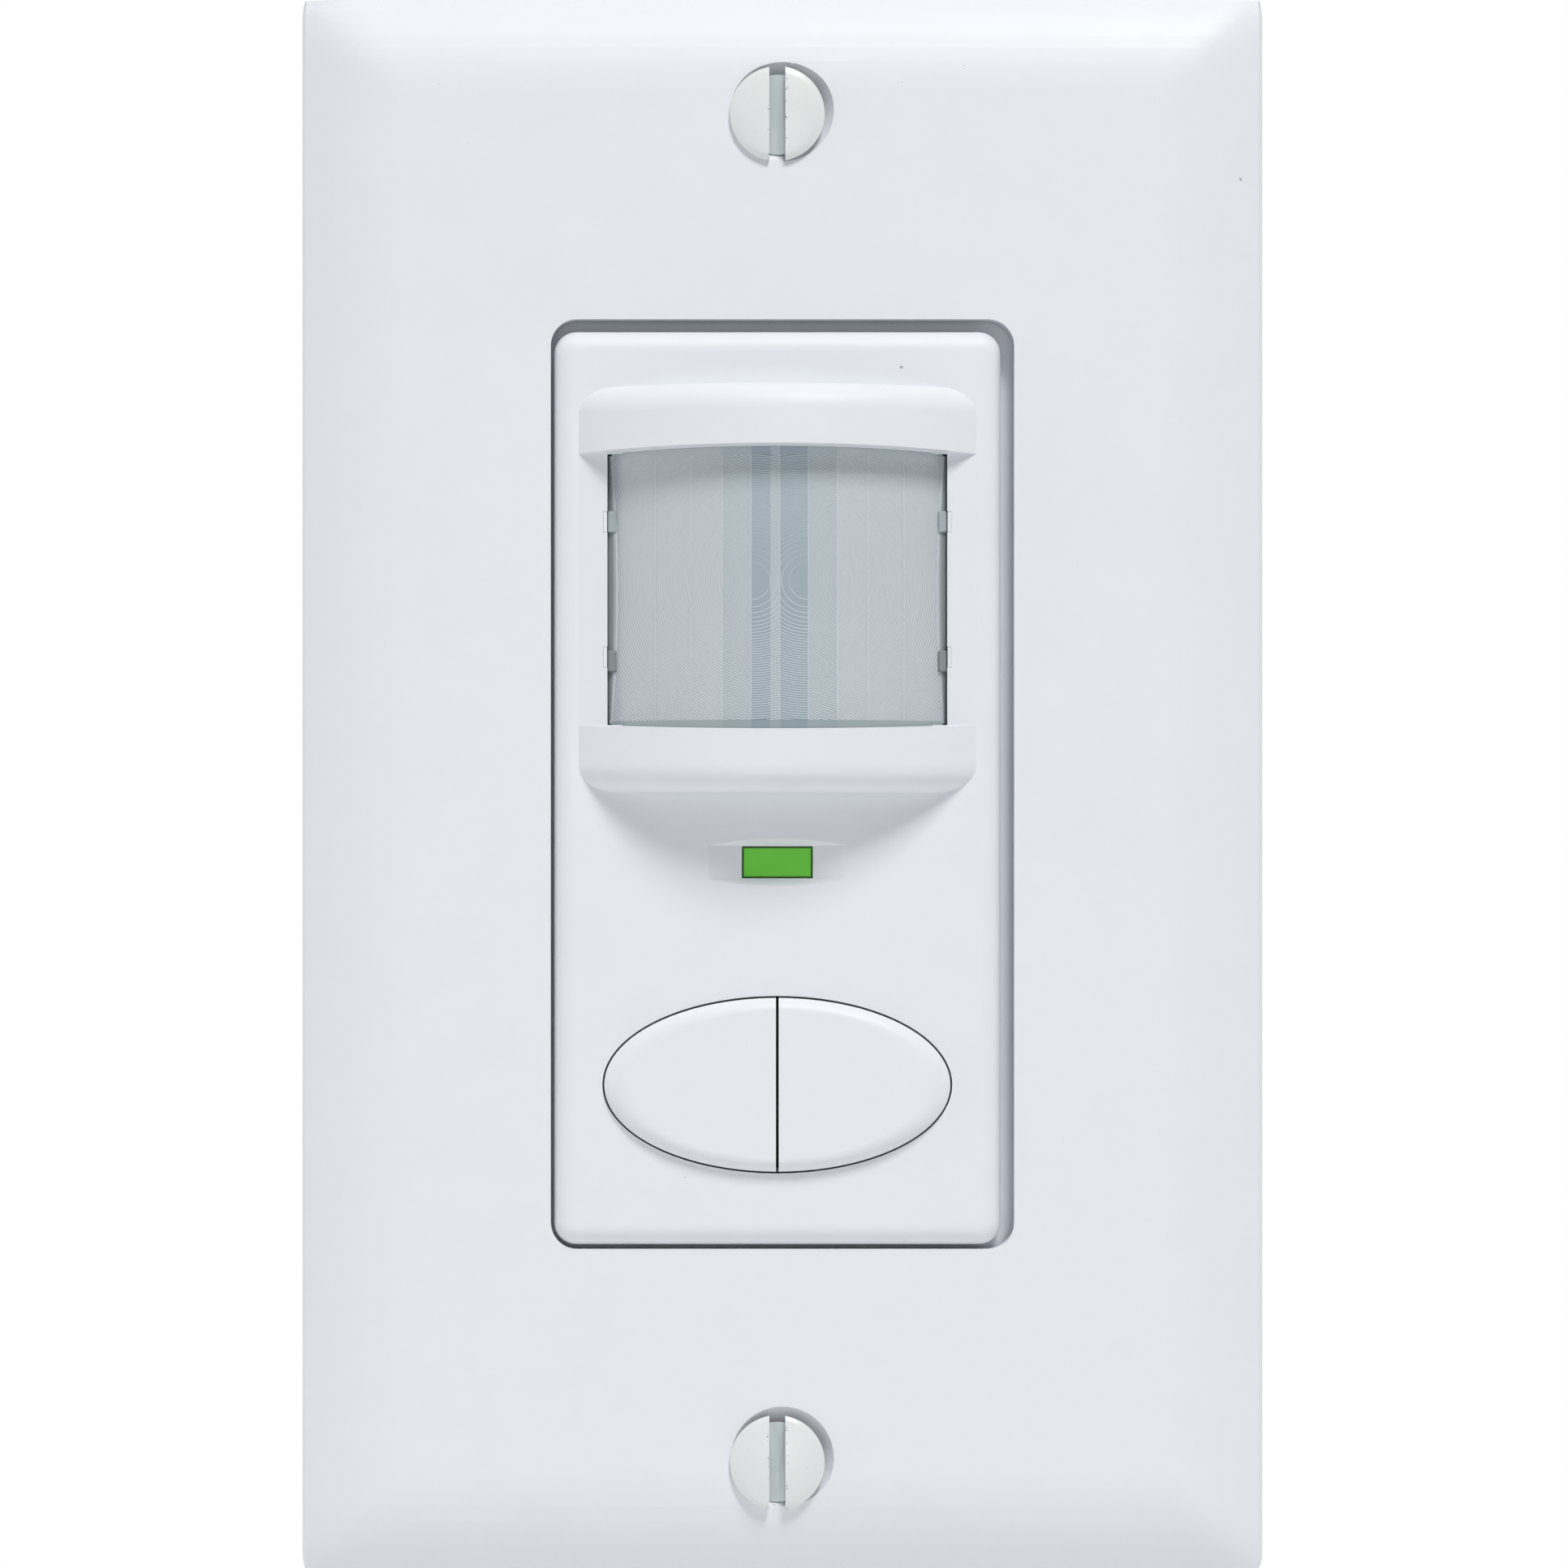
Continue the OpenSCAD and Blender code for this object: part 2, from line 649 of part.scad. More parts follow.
module wall_plate() {
    in_w = plate_w - 2 * plate_rim;
    in_h = plate_h - 2 * plate_rim;
    color("white")
        translate([plate_shift_x, 0, plate_shift_z])
            difference() {
                union() {
                    difference() {
                        intersection() {
                            plate_form(plate_w, plate_h, plate_depth);
                            slab(-far, far) round_rect(plate_w, plate_h, plate_corner_r);
                        }
                        plate_form(in_w, in_h, plate_depth - plate_wall);
                    }
                    for (side = [-1, 1])
                        pin(0, side * plate_screw_pitch / 2, plate_back - weld, strap_front, plate_boss);
                    for (side = [0, 1])
                        mirror([side, 0, 0])
                            block([rib_x, plate_back - weld, -rib_l / 2],
                                [rib_x + rib_t, strap_front - rib_gap, rib_l / 2]);
                }
                slab(-far, far) round_rect(opening_w, opening_h, opening_r);
                for (side = [-1, 1]) {
                    taper(0, side * plate_screw_pitch / 2, plate_front - 1, plate_front + sink_depth,
                        sink_d / 2 + cone_slope, screw_d / 2);
                    pin(0, side * plate_screw_pitch / 2, -far, far, plate_hole);
                }
            }
}

// One plate screw: domed head with a driver slot, the cone under its rim, and its thread
module plate_screw() {
    rim = plate_seat - plate_head_t;
    top = rim - plate_head_dome;
    dome_r = arc_r(plate_head_d / 2, plate_head_dome);
    difference() {
        union() {
            intersection() {
                pin(0, 0, top - 1, plate_seat, plate_head_d / 2);
                translate([0, top + dome_r, 0]) sphere(dome_r);
            }
            taper(0, 0, plate_seat, plate_seat + cone_l, plate_head_d / 2, screw_d / 2);
            pin(0, 0, plate_seat, plate_seat + plate_screw_l, screw_d / 2);
        }
        block([-slot_w / 2, top - 1, -plate_head_d], [slot_w / 2, rim + slot_depth, plate_head_d]);
    }
}

module plate_screws() {
    color("whitesmoke")
        for (side = [-1, 1])
            translate([0, 0, side * plate_screw_pitch / 2]) plate_screw();
}

// The bulge over the lens, turned about an upright axis behind the face
module hood() {
    intersection() {
        translate([0, hood_axis, hood_z])
            rotate_extrude()
                for (side = [0, 1])
                    mirror([0, side]) edge_section(hood_r, hood_h / 2, hood_edge_r);
        block([-far, -far, -far], [far, face_front + cover_wall / 4, far]);
    }
}

// The cut that opens the hood: flared lips above and below, and sloping cheeks at the sides
module window_cut() {
    ahead = hood_rise + 2;
    lip = window_h / 2;
    lip_front = lip + (ahead + cheek_rise) * tan(lip_flare);
    translate([0, 0, hood_z]) {
        intersection() {
            across(far)
                polygon([[face_front + cheek_rise, -lip], [face_front + cheek_rise, lip],
                    [face_front - ahead, lip_front], [face_front - ahead, -lip_front]]);
            upright(far)
                polygon([[hood_w / 2, face_front], [window_w / 2, face_front - cheek_rise],
                    [-window_w / 2, face_front - cheek_rise], [-hood_w / 2, face_front],
                    [-hood_w / 2, face_front - ahead - 1], [hood_w / 2, face_front - ahead - 1]]);
        }
        block([-window_w / 2, face_front - 3, -lip], [window_w / 2, face_back + 1, lip]);
        for (side = [-1, 1])
            block([-window_w / 2 - notch_depth, face_front - 1, side * tab_z - notch_h / 2],
                [window_w / 2 + notch_depth, face_back + 1, side * tab_z + notch_h / 2]);
    }
}

// The room for the lens behind the hood
module lens_pocket() {
    translate([0, 0, hood_z])
        intersection() {
            translate([0, hood_axis, 0]) cylinder(h = lens_h + 2 * lens_gap, r = pocket_r, center = true);
            block([-lens_pocket_w / 2, -far, -far], [lens_pocket_w / 2, face_back + 1, far]);
        }
}

// The scoop round the indicator, a shallow turned cut with sloping ends
module scoop_cut() {
    half = scoop_h / 2;
    translate([0, face_front + scoop_depth - scoop_r, -led_drop])
        rotate_extrude()
            polygon([[0, -half], [scoop_r - scoop_depth, -half], [scoop_r, scoop_wall - half],
                [scoop_r, half - scoop_wall], [scoop_r - scoop_depth, half], [0, half]]);
}

// An ellipse of full width w and height h
module oval(w, h) {
    scale([w / 2, h / 2]) circle(1);
}

// Puts its children at each of the four body screws
module column_places() {
    for (sx = [-1, 1], sz = [-1, 1])
        translate([sx * column_x, 0, sz * column_z]) children();
}

// The screw posts inside the front cover, kept within its side walls ahead of the flange
module cover_posts() {
    column_places() pin(0, 0, flange_front, strap_front, cover_post_r);
    intersection() {
        column_places() pin(0, 0, face_back - weld, strap_front, cover_post_r);
        slab(-far, far) square([face_w - cover_side, face_h - cover_side], center = true);
    }
}

module front_cover() {
    in_w = face_w - 2 * cover_side;
    in_h = face_h - 2 * cover_side;
    color("white")
        difference() {
            union() {
                difference() {
                    union() {
                        rounded_block(face_w, face_h, face_front, strap_front, face_r, face_edge_r);
                        slab(flange_front, strap_front) round_rect(flange_w, flange_h, face_r);
                    }
                    slab(face_back, far) round_rect(in_w, in_h, face_r);
                }
                cover_posts();
                hood();
            }
            window_cut();
            lens_pocket();
            scoop_cut();
            slab(-far, far)
                translate([0, -led_drop]) square([led_w + 2 * led_gap, led_h + 2 * led_gap], center = true);
            slab(-far, far)
                translate([0, button_z]) oval(button_w + 2 * button_gap, button_h + 2 * button_gap);
            column_places()
                pin(0, 0, column_seat - body_screw_l - blind_gap, far, body_screw_d / 2 + thread_gap);
            for (side = [-1, 1])
                pin(0, side * box_screw_pitch / 2, -far, far, box_head_d / 2 + relief_gap);
        }
}

// The lens's back: flat facets between the borders, inside its inner radius
module lens_back() {
    inner = lens_r - lens_t;
    edges = concat(facet_edges, [lens_half]);
    n = len(edges);
    right = [for (x = edges) [x, -sqrt(inner * inner - x * x)]];
    left = [for (i = [n - 1:-1:0]) [-right[i][0], right[i][1]]];
    translate([0, hood_axis])
        polygon(concat(left, [[0, -inner]], right, [[lens_half + 2, right[n - 1][1]], [lens_half + 2, 0],
            [-lens_half - 2, 0], [-lens_half - 2, right[n - 1][1]]]));
}

module fresnel_lens() {
    tab_front = face_back + lens_gap;
    skirt_front = face_front + skirt_drop;
    skirt_half = window_h / 2 - lens_gap;
    nose_half = notch_h / 2 - lens_gap;
    nose_out = window_w / 2 + notch_depth - lens_gap;
    color("lightsteelblue", 0.8)
        translate([0, 0, hood_z]) {
            difference() {
                translate([0, hood_axis, 0]) cylinder(h = lens_h, r = lens_r, center = true);
                upright(far) lens_back();
                for (side = [-1, 1]) {
                    pin(side * (lens_half - lens_bow + lens_bow_r), 0, -far, far, lens_bow_r);
                    translate([side * (lens_half + far / 2), 0, 0]) cube(far, center = true);
                }
                translate([0, face_front + 2 + far / 2, 0]) cube(far, center = true);
            }
            for (side = [0, 1])
                mirror([side, 0, 0]) {
                    block([leg_in, face_front - weld, -tab_z - leg_end],
                        [leg_out, leg_back, tab_z + leg_end]);
                    block([leg_out - weld, skirt_front, -skirt_half],
                        [window_w / 2 - lens_gap, skirt_front + skirt_t, skirt_half]);
                    for (end = [-1, 1]) {
                        block([leg_out - weld, tab_front, end * tab_z - tab_h / 2],
                            [lens_pocket_w / 2 + tab_reach, tab_front + tab_t, end * tab_z + tab_h / 2]);
                        block([leg_out - weld, face_front + nose_drop, end * tab_z - nose_half],
                            [nose_out, tab_front + tab_t, end * tab_z + nose_half]);
                    }
                }
        }
}

module lens_retainer() {
    rim_w = 2 * (leg_out + retainer_lip);
    rim_h = lens_h + 2 * retainer_lip;
    color("dimgray")
        translate([0, 0, hood_z])
            difference() {
                union() {
                    slab(rim_front, rim_back) round_rect(rim_w, rim_h, retainer_r);
                    slab(rim_front, front_board_y) round_rect(shade_w, shade_h, retainer_r);
                }
                slab(-far, far)
                    round_rect(shade_w - 2 * shade_wall, shade_h - 2 * shade_wall, retainer_r / 2);
            }
}

module indicator_light_pipe() {
    color("limegreen")
        translate([0, 0, -led_drop]) {
            slab(pipe_front, front_board_y - lamp_h - led_air) square([led_w, led_h], center = true);
            slab(face_back, face_back + led_flange_t)
                square([led_w + 2 * led_flange, led_h + 2 * led_flange], center = true);
        }
}

// The whole button pair before it is split: crowned shell, stop rim and hollow back
module button_pair() {
    edge_flat = button_w / 2 - button_edge_w;
    shell_depth = button_back - button_front;
    translate([0, button_back, button_z]) rotate([90, 0, 0]) {
        scale([1, button_ratio, 1])
            rotate_extrude() {
                square([button_w / 2, shell_depth - button_edge_drop]);
                square([edge_flat, shell_depth]);
                intersection() {
                    translate([edge_flat, shell_depth - button_edge_r]) circle(button_edge_r);
                    translate([edge_flat, shell_depth - button_edge_drop])
                        square([button_edge_w, button_edge_drop + 1]);
                }
            }
        linear_extrude(stop_t) oval(button_w + 2 * stop_w, button_h + 2 * stop_w);
    }
}

// The hollow inside one button, to the right of the split
module button_hollow() {
    slab(button_front + button_wall + button_edge_drop, far)
        translate([0, button_z])
            intersection() {
                oval(button_w - 2 * button_wall, button_h - 2 * button_wall);
                translate([split_gap / 2 + button_wall, -far / 2]) square(far);
            }
}

module half_button() {
    difference() {
        button_pair();
        block([-far, -far, -far], [split_gap / 2, far, far]);
        button_hollow();
    }
    pin(stem_x, button_z, button_front + button_wall, stem_end, stem_d / 2);
}

module right_button() {
    color("white") half_button();
}

module left_button() {
    color("white") mirror([1, 0, 0]) half_button();
}

module switch_plunger(side) {
    pin(side * stem_x, button_z, plunger_front, plunger_front + plunger_h + plunger_in, plunger_d / 2);
}

module left_switch_plunger() {
    color("black") switch_plunger(-1);
}

module right_switch_plunger() {
    color("black") switch_plunger(1);
}

module switch_body(side) {
    top = front_board_y - switch_h;
    well = top + plunger_in + button_travel + plunger_gap;
    translate([side * stem_x, 0, button_z])
        difference() {
            slab(top, front_board_y) round_rect(switch_side, switch_side, case_r);
            pin(0, 0, top - 1, well, plunger_d / 2 + plunger_gap);
        }
}

module left_switch_body() {
    color("dimgray") switch_body(-1);
}

module right_switch_body() {
    color("dimgray") switch_body(1);
}

// Outline of a board with its four corners cut away for the screw columns
module board_outline(w) {
    clear = column_d / 2 + board_gap;
    square([w, 2 * (column_z - clear)], center = true);
    square([2 * (column_x - clear), body_in_h - 2 * board_gap], center = true);
}

module control_board() {
    color("seagreen") slab(front_board_y, front_board_back) board_outline(body_in_w - 2 * board_gap);
}

module pyro_sensor() {
    front = front_board_y - can_h;
    color("silver")
        difference() {
            union() {
                translate([0, front_board_y, hood_z]) rotate([90, 0, 0])
                    rotate_extrude() mirror([0, 1]) edge_section(can_d / 2, can_h, can_edge_r);
                pin(0, hood_z, front_board_y - can_foot_t, front_board_y, can_foot_d / 2);
            }
            translate([0, 0, hood_z]) slab(front - 1, front + can_window_t) square(can_window, center = true);
        }
}

module pyro_window() {
    front = front_board_y - can_h;
    color("black")
        translate([0, 0, hood_z])
            slab(front + can_window_gap, front + can_window_t)
                square(can_window - 2 * can_window_gap, center = true);
}

module status_led() {
    color("honeydew")
        translate([0, 0, -led_drop])
            slab(front_board_y - lamp_h, front_board_y) square([lamp_w, lamp_l], center = true);
}

module control_chip() {
    color("black")
        translate([-stem_x - chip_x, 0, -led_drop - led_h - chip_side / 2])
            slab(front_board_y - chip_h, front_board_y) square(chip_side, center = true);
}

// Puts its children at each pin of the header, along x
module header_places() {
    for (i = [0:header_pins_n - 1])
        translate([(i - (header_pins_n - 1) / 2) * header_pitch, 0, header_z]) children();
}

module board_header() {
    color("black")
        difference() {
            translate([0, 0, header_z])
                slab(front_board_back, front_board_back + header_side)
                    square([header_pins_n * header_pitch, header_side], center = true);
            header_places() slab(-far, far) square(header_pin + 2 * pin_gap, center = true);
        }
}

module header_pins() {
    color("gold") header_places() slab(front_board_back, rear_board_y) square(header_pin, center = true);
}

module power_board() {
    color("seagreen") slab(rear_board_y, rear_board_y + board_t) board_outline(2 * (pocket_in - board_gap));
}

module relay(side) {
    translate([side * row_x, 0, relay_z])
        slab(rear_board_y - relay_h, rear_board_y) round_rect(relay_w, relay_l, case_r);
}

module left_relay() {
    color("royalblue") relay(-1);
}

module right_relay() {
    color("royalblue") relay(1);
}

module film_capacitor() {
    color("gold")
        translate([-row_x, 0, film_z])
            slab(rear_board_y - film_h, rear_board_y) round_rect(film_w, film_l, case_r);
}

module bulk_capacitor() {
    color("midnightblue")
        translate([row_x, rear_board_y, bulk_z]) rotate([90, 0, 0])
            rotate_extrude() mirror([0, 1]) edge_section(bulk_d / 2, bulk_h, case_r);
}

module varistor() {
    color("royalblue")
        translate([-row_x, rear_board_y - varistor_d / 2, varistor_z])
            rotate_extrude()
                for (side = [0, 1])
                    mirror([0, side]) edge_section(varistor_d / 2, varistor_t / 2, varistor_r);
}

// Puts its children on the choke's axis, toward the front board
module choke_place() {
    translate([row_x, rear_board_y, choke_z]) rotate([90, 0, 0]) children();
}

module choke_core() {
    color("dimgray")
        choke_place() translate([0, 0, wire_d + wire_gap])
            rotate_extrude() translate([choke_bore / 2, 0]) square([(choke_d - choke_bore) / 2, choke_h]);
}

module choke_winding() {
    width = (choke_d - choke_bore) / 2 + 2 * wire_gap;
    height = choke_h + 2 * wire_gap;
    color("peru")
        choke_place()
            for (i = [0:choke_turns - 1])
                rotate([0, 0, 360 * (i + 0.5) / choke_turns])
                    translate([choke_bore / 2 - wire_gap, wire_d / 2, wire_d]) rotate([90, 0, 0])
                        linear_extrude(wire_d)
                            difference() {
                                translate([-wire_d, -wire_d])
                                    square([width + 2 * wire_d, height + 2 * wire_d]);
                                square([width, height]);
                            }
}

module fuse() {
    color("silver")
        translate([0, rear_board_y - fuse_d / 2, fuse_z]) rotate([0, 90, 0]) {
            cylinder(h = fuse_l - fuse_cap_l, d = fuse_d - 2 * fuse_cap_t, center = true);
            for (side = [-1, 1])
                translate([0, 0, side * (fuse_l - fuse_cap_l) / 2])
                    cylinder(h = fuse_cap_l, d = fuse_d, center = true);
        }
}

// A slot with round ends, along x
module slot(l, w) {
    square([l - w, w], center = true);
    for (side = [-1, 1])
        translate([side * (l - w) / 2, 0]) circle(d = w);
}

// The strap's sheet: a wide part round the body, and ends whose ears break off along their slots
module strap_outline() {
    difference() {
        union() {
            round_rect(strap_mid_w, strap_mid_h, strap_r);
            round_rect(strap_end_w, strap_h, strap_r);
        }
        round_rect(strap_open_w, strap_open_h, strap_r);
        for (sx = [0, 1], sz = [0, 1])
            mirror([sx, 0]) mirror([0, sz]) {
                translate([ear_x, plate_screw_pitch / 2]) {
                    circle(d = ear_hole_d);
                    translate([0, -ear_slot_gap]) slot(ear_slot_l, ear_slot_w);
                    translate([-ear_slot_gap, 0]) rotate(90) slot(ear_slot_l, ear_slot_w);
                }
                translate([column_x, column_z]) circle(body_screw_d / 2 + hole_gap);
            }
        for (side = [-1, 1]) {
            translate([0, side * plate_screw_pitch / 2]) circle(screw_d / 2 + thread_gap);
            translate([0, side * box_screw_pitch / 2]) slot(box_slot_l, box_slot_w);
        }
    }
}

module mounting_strap() {
    color("silver") {
        slab(strap_front, 0) strap_outline();
        difference() {
            block([-tab_x - tab_w / 2, strap_front, ground_z],
                [-tab_x + tab_w / 2, tab_l, ground_z + strap_t]);
            translate([-tab_x, tab_l - tab_w / 2, 0])
                cylinder(h = far, r = screw_d / 2 + thread_gap, center = true);
        }
    }
}

module mounting_screws() {
    top = strap_front - box_head_t;
    color("silver")
        for (side = [-1, 1])
            translate([0, 0, side * box_screw_pitch / 2]) {
                difference() {
                    pin(0, 0, top, strap_front, box_head_d / 2);
                    block([-slot_w / 2, top - 1, -box_head_d], [slot_w / 2, top + slot_depth, box_head_d]);
                }
                pin(0, 0, strap_front - weld, weld, box_neck_d / 2);
                pin(0, 0, 0, box_screw_l - strap_t, screw_d / 2);
            }
}

module ground_screw() {
    color("green")
        translate([-tab_x, tab_l - tab_w / 2, ground_z]) {
            translate([0, 0, -ground_head_t])
                difference() {
                    cylinder(h = ground_head_t, d = ground_head_d, $fn = 6);
                    translate([-slot_w / 2, -far / 2, -1]) cube([slot_w, far, slot_depth + 1]);
                }
            translate([0, 0, -weld]) cylinder(h = strap_t + weld + 1, d = screw_d);
        }
}

// The four terminal pockets, grown by a wall
module terminal_pockets(wall) {
    for (sx = [0, 1], sz = [-1, 1])
        mirror([sx, 0, 0])
            block([pocket_x - wall, pocket_front - wall, sz * terminal_z - pocket_h / 2 - wall],
                [far, far, sz * terminal_z + pocket_h / 2 + wall]);
}

// Marks moulded into the back: a shallow field for a label and a wire stripping gauge
module back_marks() {
    slab(body_depth - label_depth, far) round_rect(label_w, label_h, case_r);
    slab(body_depth - gauge_depth, far)
        translate([0, -label_h / 2 - 2 * gauge_w]) square([gauge_l, gauge_w], center = true);
}

module rear_housing() {
    post_x = column_x - post_inset;
    post_z = terminal_z + pocket_h / 2 + post_gap;
    post_front = rear_board_y + board_t;
    bore_l = 2 * (pocket_wall + term_screw_end);
    color("darkslategray")
        difference() {
            union() {
                difference() {
                    mirror([0, 1, 0]) rounded_block(body_w, body_h, -body_depth, 0, body_r, body_edge_r);
                    difference() {
                        slab(-1, floor_y) round_rect(body_in_w, body_in_h, body_r - body_wall);
                        terminal_pockets(pocket_wall);
                        column_places() pin(0, 0, -far, far, column_d / 2);
                    }
                }
                for (sx = [-1, 1], sz = [-1, 1])
                    pin(sx * post_x, sz * post_z, post_front, floor_y + weld, post_d / 2);
            }
            terminal_pockets(0);
            column_places() {
                pin(0, 0, -far, far, body_screw_d / 2 + hole_gap);
                pin(0, 0, column_seat, far, column_bore);
            }
            terminal_places() {
                rotate([0, 90, 0]) cylinder(h = bore_l, r = screw_d / 2 + thread_gap, center = true);
                translate([0, tail_front - terminal_y, 0])
                    block([-pocket_wall - tail_reach, -tail_gap, -tail_w / 2 - tail_gap],
                        [tail_gap, plate_term_t + tail_gap, tail_w / 2 + tail_gap]);
            }
            back_marks();
        }
}

module housing_screws() {
    color("silver")
        column_places()
            difference() {
                union() {
                    pin(0, 0, column_seat, column_seat + body_head_t, body_head_d / 2);
                    pin(0, 0, column_seat - body_screw_l, column_seat + weld, body_screw_d / 2);
                }
                for (turn = [0, 90])
                    translate([0, column_seat + body_head_t, 0]) rotate([0, turn, 0])
                        cube([cross_w, 2 * cross_depth, cross_l], center = true);
            }
}

// Puts its children at each terminal, with x pointing out of the body
module terminal_places() {
    for (sx = [0, 1], sz = [-1, 1])
        mirror([sx, 0, 0]) translate([pocket_x, terminal_y, sz * terminal_z]) children();
}

module terminal_plates() {
    color("goldenrod")
        terminal_places()
            difference() {
                union() {
                    block([0, pocket_front + term_gap - terminal_y, -plate_term_w / 2],
                        [plate_term_t, rear_board_y - terminal_y, plate_term_w / 2]);
                    block([-pocket_wall - tail_reach, tail_front - terminal_y, -tail_w / 2],
                        [weld, rear_board_y - terminal_y, tail_w / 2]);
                }
                rotate([0, 90, 0]) cylinder(h = 4 * plate_term_t, r = screw_d / 2 + hole_gap, center = true);
            }
}

module terminal_screws() {
    back = -pocket_wall - term_screw_end;
    color("silver")
        terminal_places()
            difference() {
                union() {
                    translate([plate_term_t, 0, 0]) rotate([0, 90, 0])
                        cylinder(h = term_head_t, d = term_head_d);
                    translate([back, 0, 0]) rotate([0, 90, 0])
                        cylinder(h = plate_term_t + weld - back, d = screw_d);
                }
                block([plate_term_t + term_head_t - slot_depth, -slot_w / 2, -term_head_d],
                    [far, slot_w / 2, term_head_d]);
            }
}

wall_plate();
plate_screws();
front_cover();
fresnel_lens();
lens_retainer();
indicator_light_pipe();
left_button();
right_button();
left_switch_plunger();
right_switch_plunger();
left_switch_body();
right_switch_body();
control_board();
pyro_sensor();
pyro_window();
status_led();
control_chip();
board_header();
header_pins();
power_board();
left_relay();
right_relay();
film_capacitor();
bulk_capacitor();
varistor();
choke_core();
choke_winding();
fuse();
mounting_strap();
mounting_screws();
ground_screw();
rear_housing();
housing_screws();
terminal_plates();
terminal_screws();
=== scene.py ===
"""Looks of a motion sensor light switch: its finishes, lens grooves, screw threads, wire and studio."""

import json
import logging
import math
from collections.abc import Sequence
from dataclasses import dataclass
from enum import Enum, IntEnum

import bmesh
import bpy
from mathutils import Matrix, Vector


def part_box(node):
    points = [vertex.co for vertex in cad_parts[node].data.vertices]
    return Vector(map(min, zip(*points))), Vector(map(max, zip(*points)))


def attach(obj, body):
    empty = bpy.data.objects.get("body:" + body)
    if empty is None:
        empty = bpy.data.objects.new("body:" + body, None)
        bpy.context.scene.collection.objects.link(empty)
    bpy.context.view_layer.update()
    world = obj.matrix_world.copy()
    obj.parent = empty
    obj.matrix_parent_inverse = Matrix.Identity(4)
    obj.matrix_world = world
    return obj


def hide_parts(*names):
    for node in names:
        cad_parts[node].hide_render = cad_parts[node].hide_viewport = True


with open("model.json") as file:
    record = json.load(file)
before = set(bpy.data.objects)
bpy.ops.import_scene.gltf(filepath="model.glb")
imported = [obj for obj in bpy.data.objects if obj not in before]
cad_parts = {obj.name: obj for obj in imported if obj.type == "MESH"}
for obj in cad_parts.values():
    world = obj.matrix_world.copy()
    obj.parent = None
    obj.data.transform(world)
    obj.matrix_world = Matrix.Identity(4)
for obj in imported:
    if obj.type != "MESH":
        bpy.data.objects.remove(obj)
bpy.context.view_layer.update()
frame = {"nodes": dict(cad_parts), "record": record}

# Lengths are in millimetres, until MM makes them metres. Points closer than WELD are one point.
MM = 0.001
WELD = 0.001
TURN = 2 * math.pi
SIDES = (-1, 1)
BODY = "switch"
LOG = logging.getLogger("switch")

Pair = tuple[float, float]
Point = tuple[float, float, float]
Colour = tuple[float, float, float]
Socket = bpy.types.NodeSocket


def mix(low: float, high: float, share: float) -> float:
    """Returns the value a share of the way from low to high."""
    return low + (high - low) * share


def smooth(share: float) -> float:
    """Returns a share eased at both ends."""
    share = min(max(share, 0.0), 1.0)
    return share * share * (3 - 2 * share)


def spaced(low: float, high: float, cells: int) -> list[float]:
    """Returns the borders of even cells from low to high."""
    return [mix(low, high, i / cells) for i in range(cells + 1)]


def around(steps: int) -> list[float]:
    """Returns the angles of a full turn in even steps."""
    return [TURN * i / steps for i in range(steps)]


def ring(angles: Sequence[float], radii: Sequence[float], height: float) -> list[Point]:
    """Returns points round the z axis at one height, each with its own angle and radius."""
    return [(r * math.cos(a), r * math.sin(a), height) for a, r in zip(angles, radii)]


def settle(name: str, mesh: bpy.types.Mesh, replaced: str) -> bpy.types.Object:
    """Puts a finished mesh on the switch's fixed body.

    Args:
        name: the piece's name.
        mesh: its mesh, in place.
        replaced: the CAD node that it stands for.

    Returns:
        The object.
    """
    piece = bpy.data.objects.new(name, mesh)
    bpy.context.scene.collection.objects.link(piece)
    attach(piece, BODY)
    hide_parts(replaced)
    LOG.info("piece %s: %d faces", name, len(mesh.polygons))
    return piece


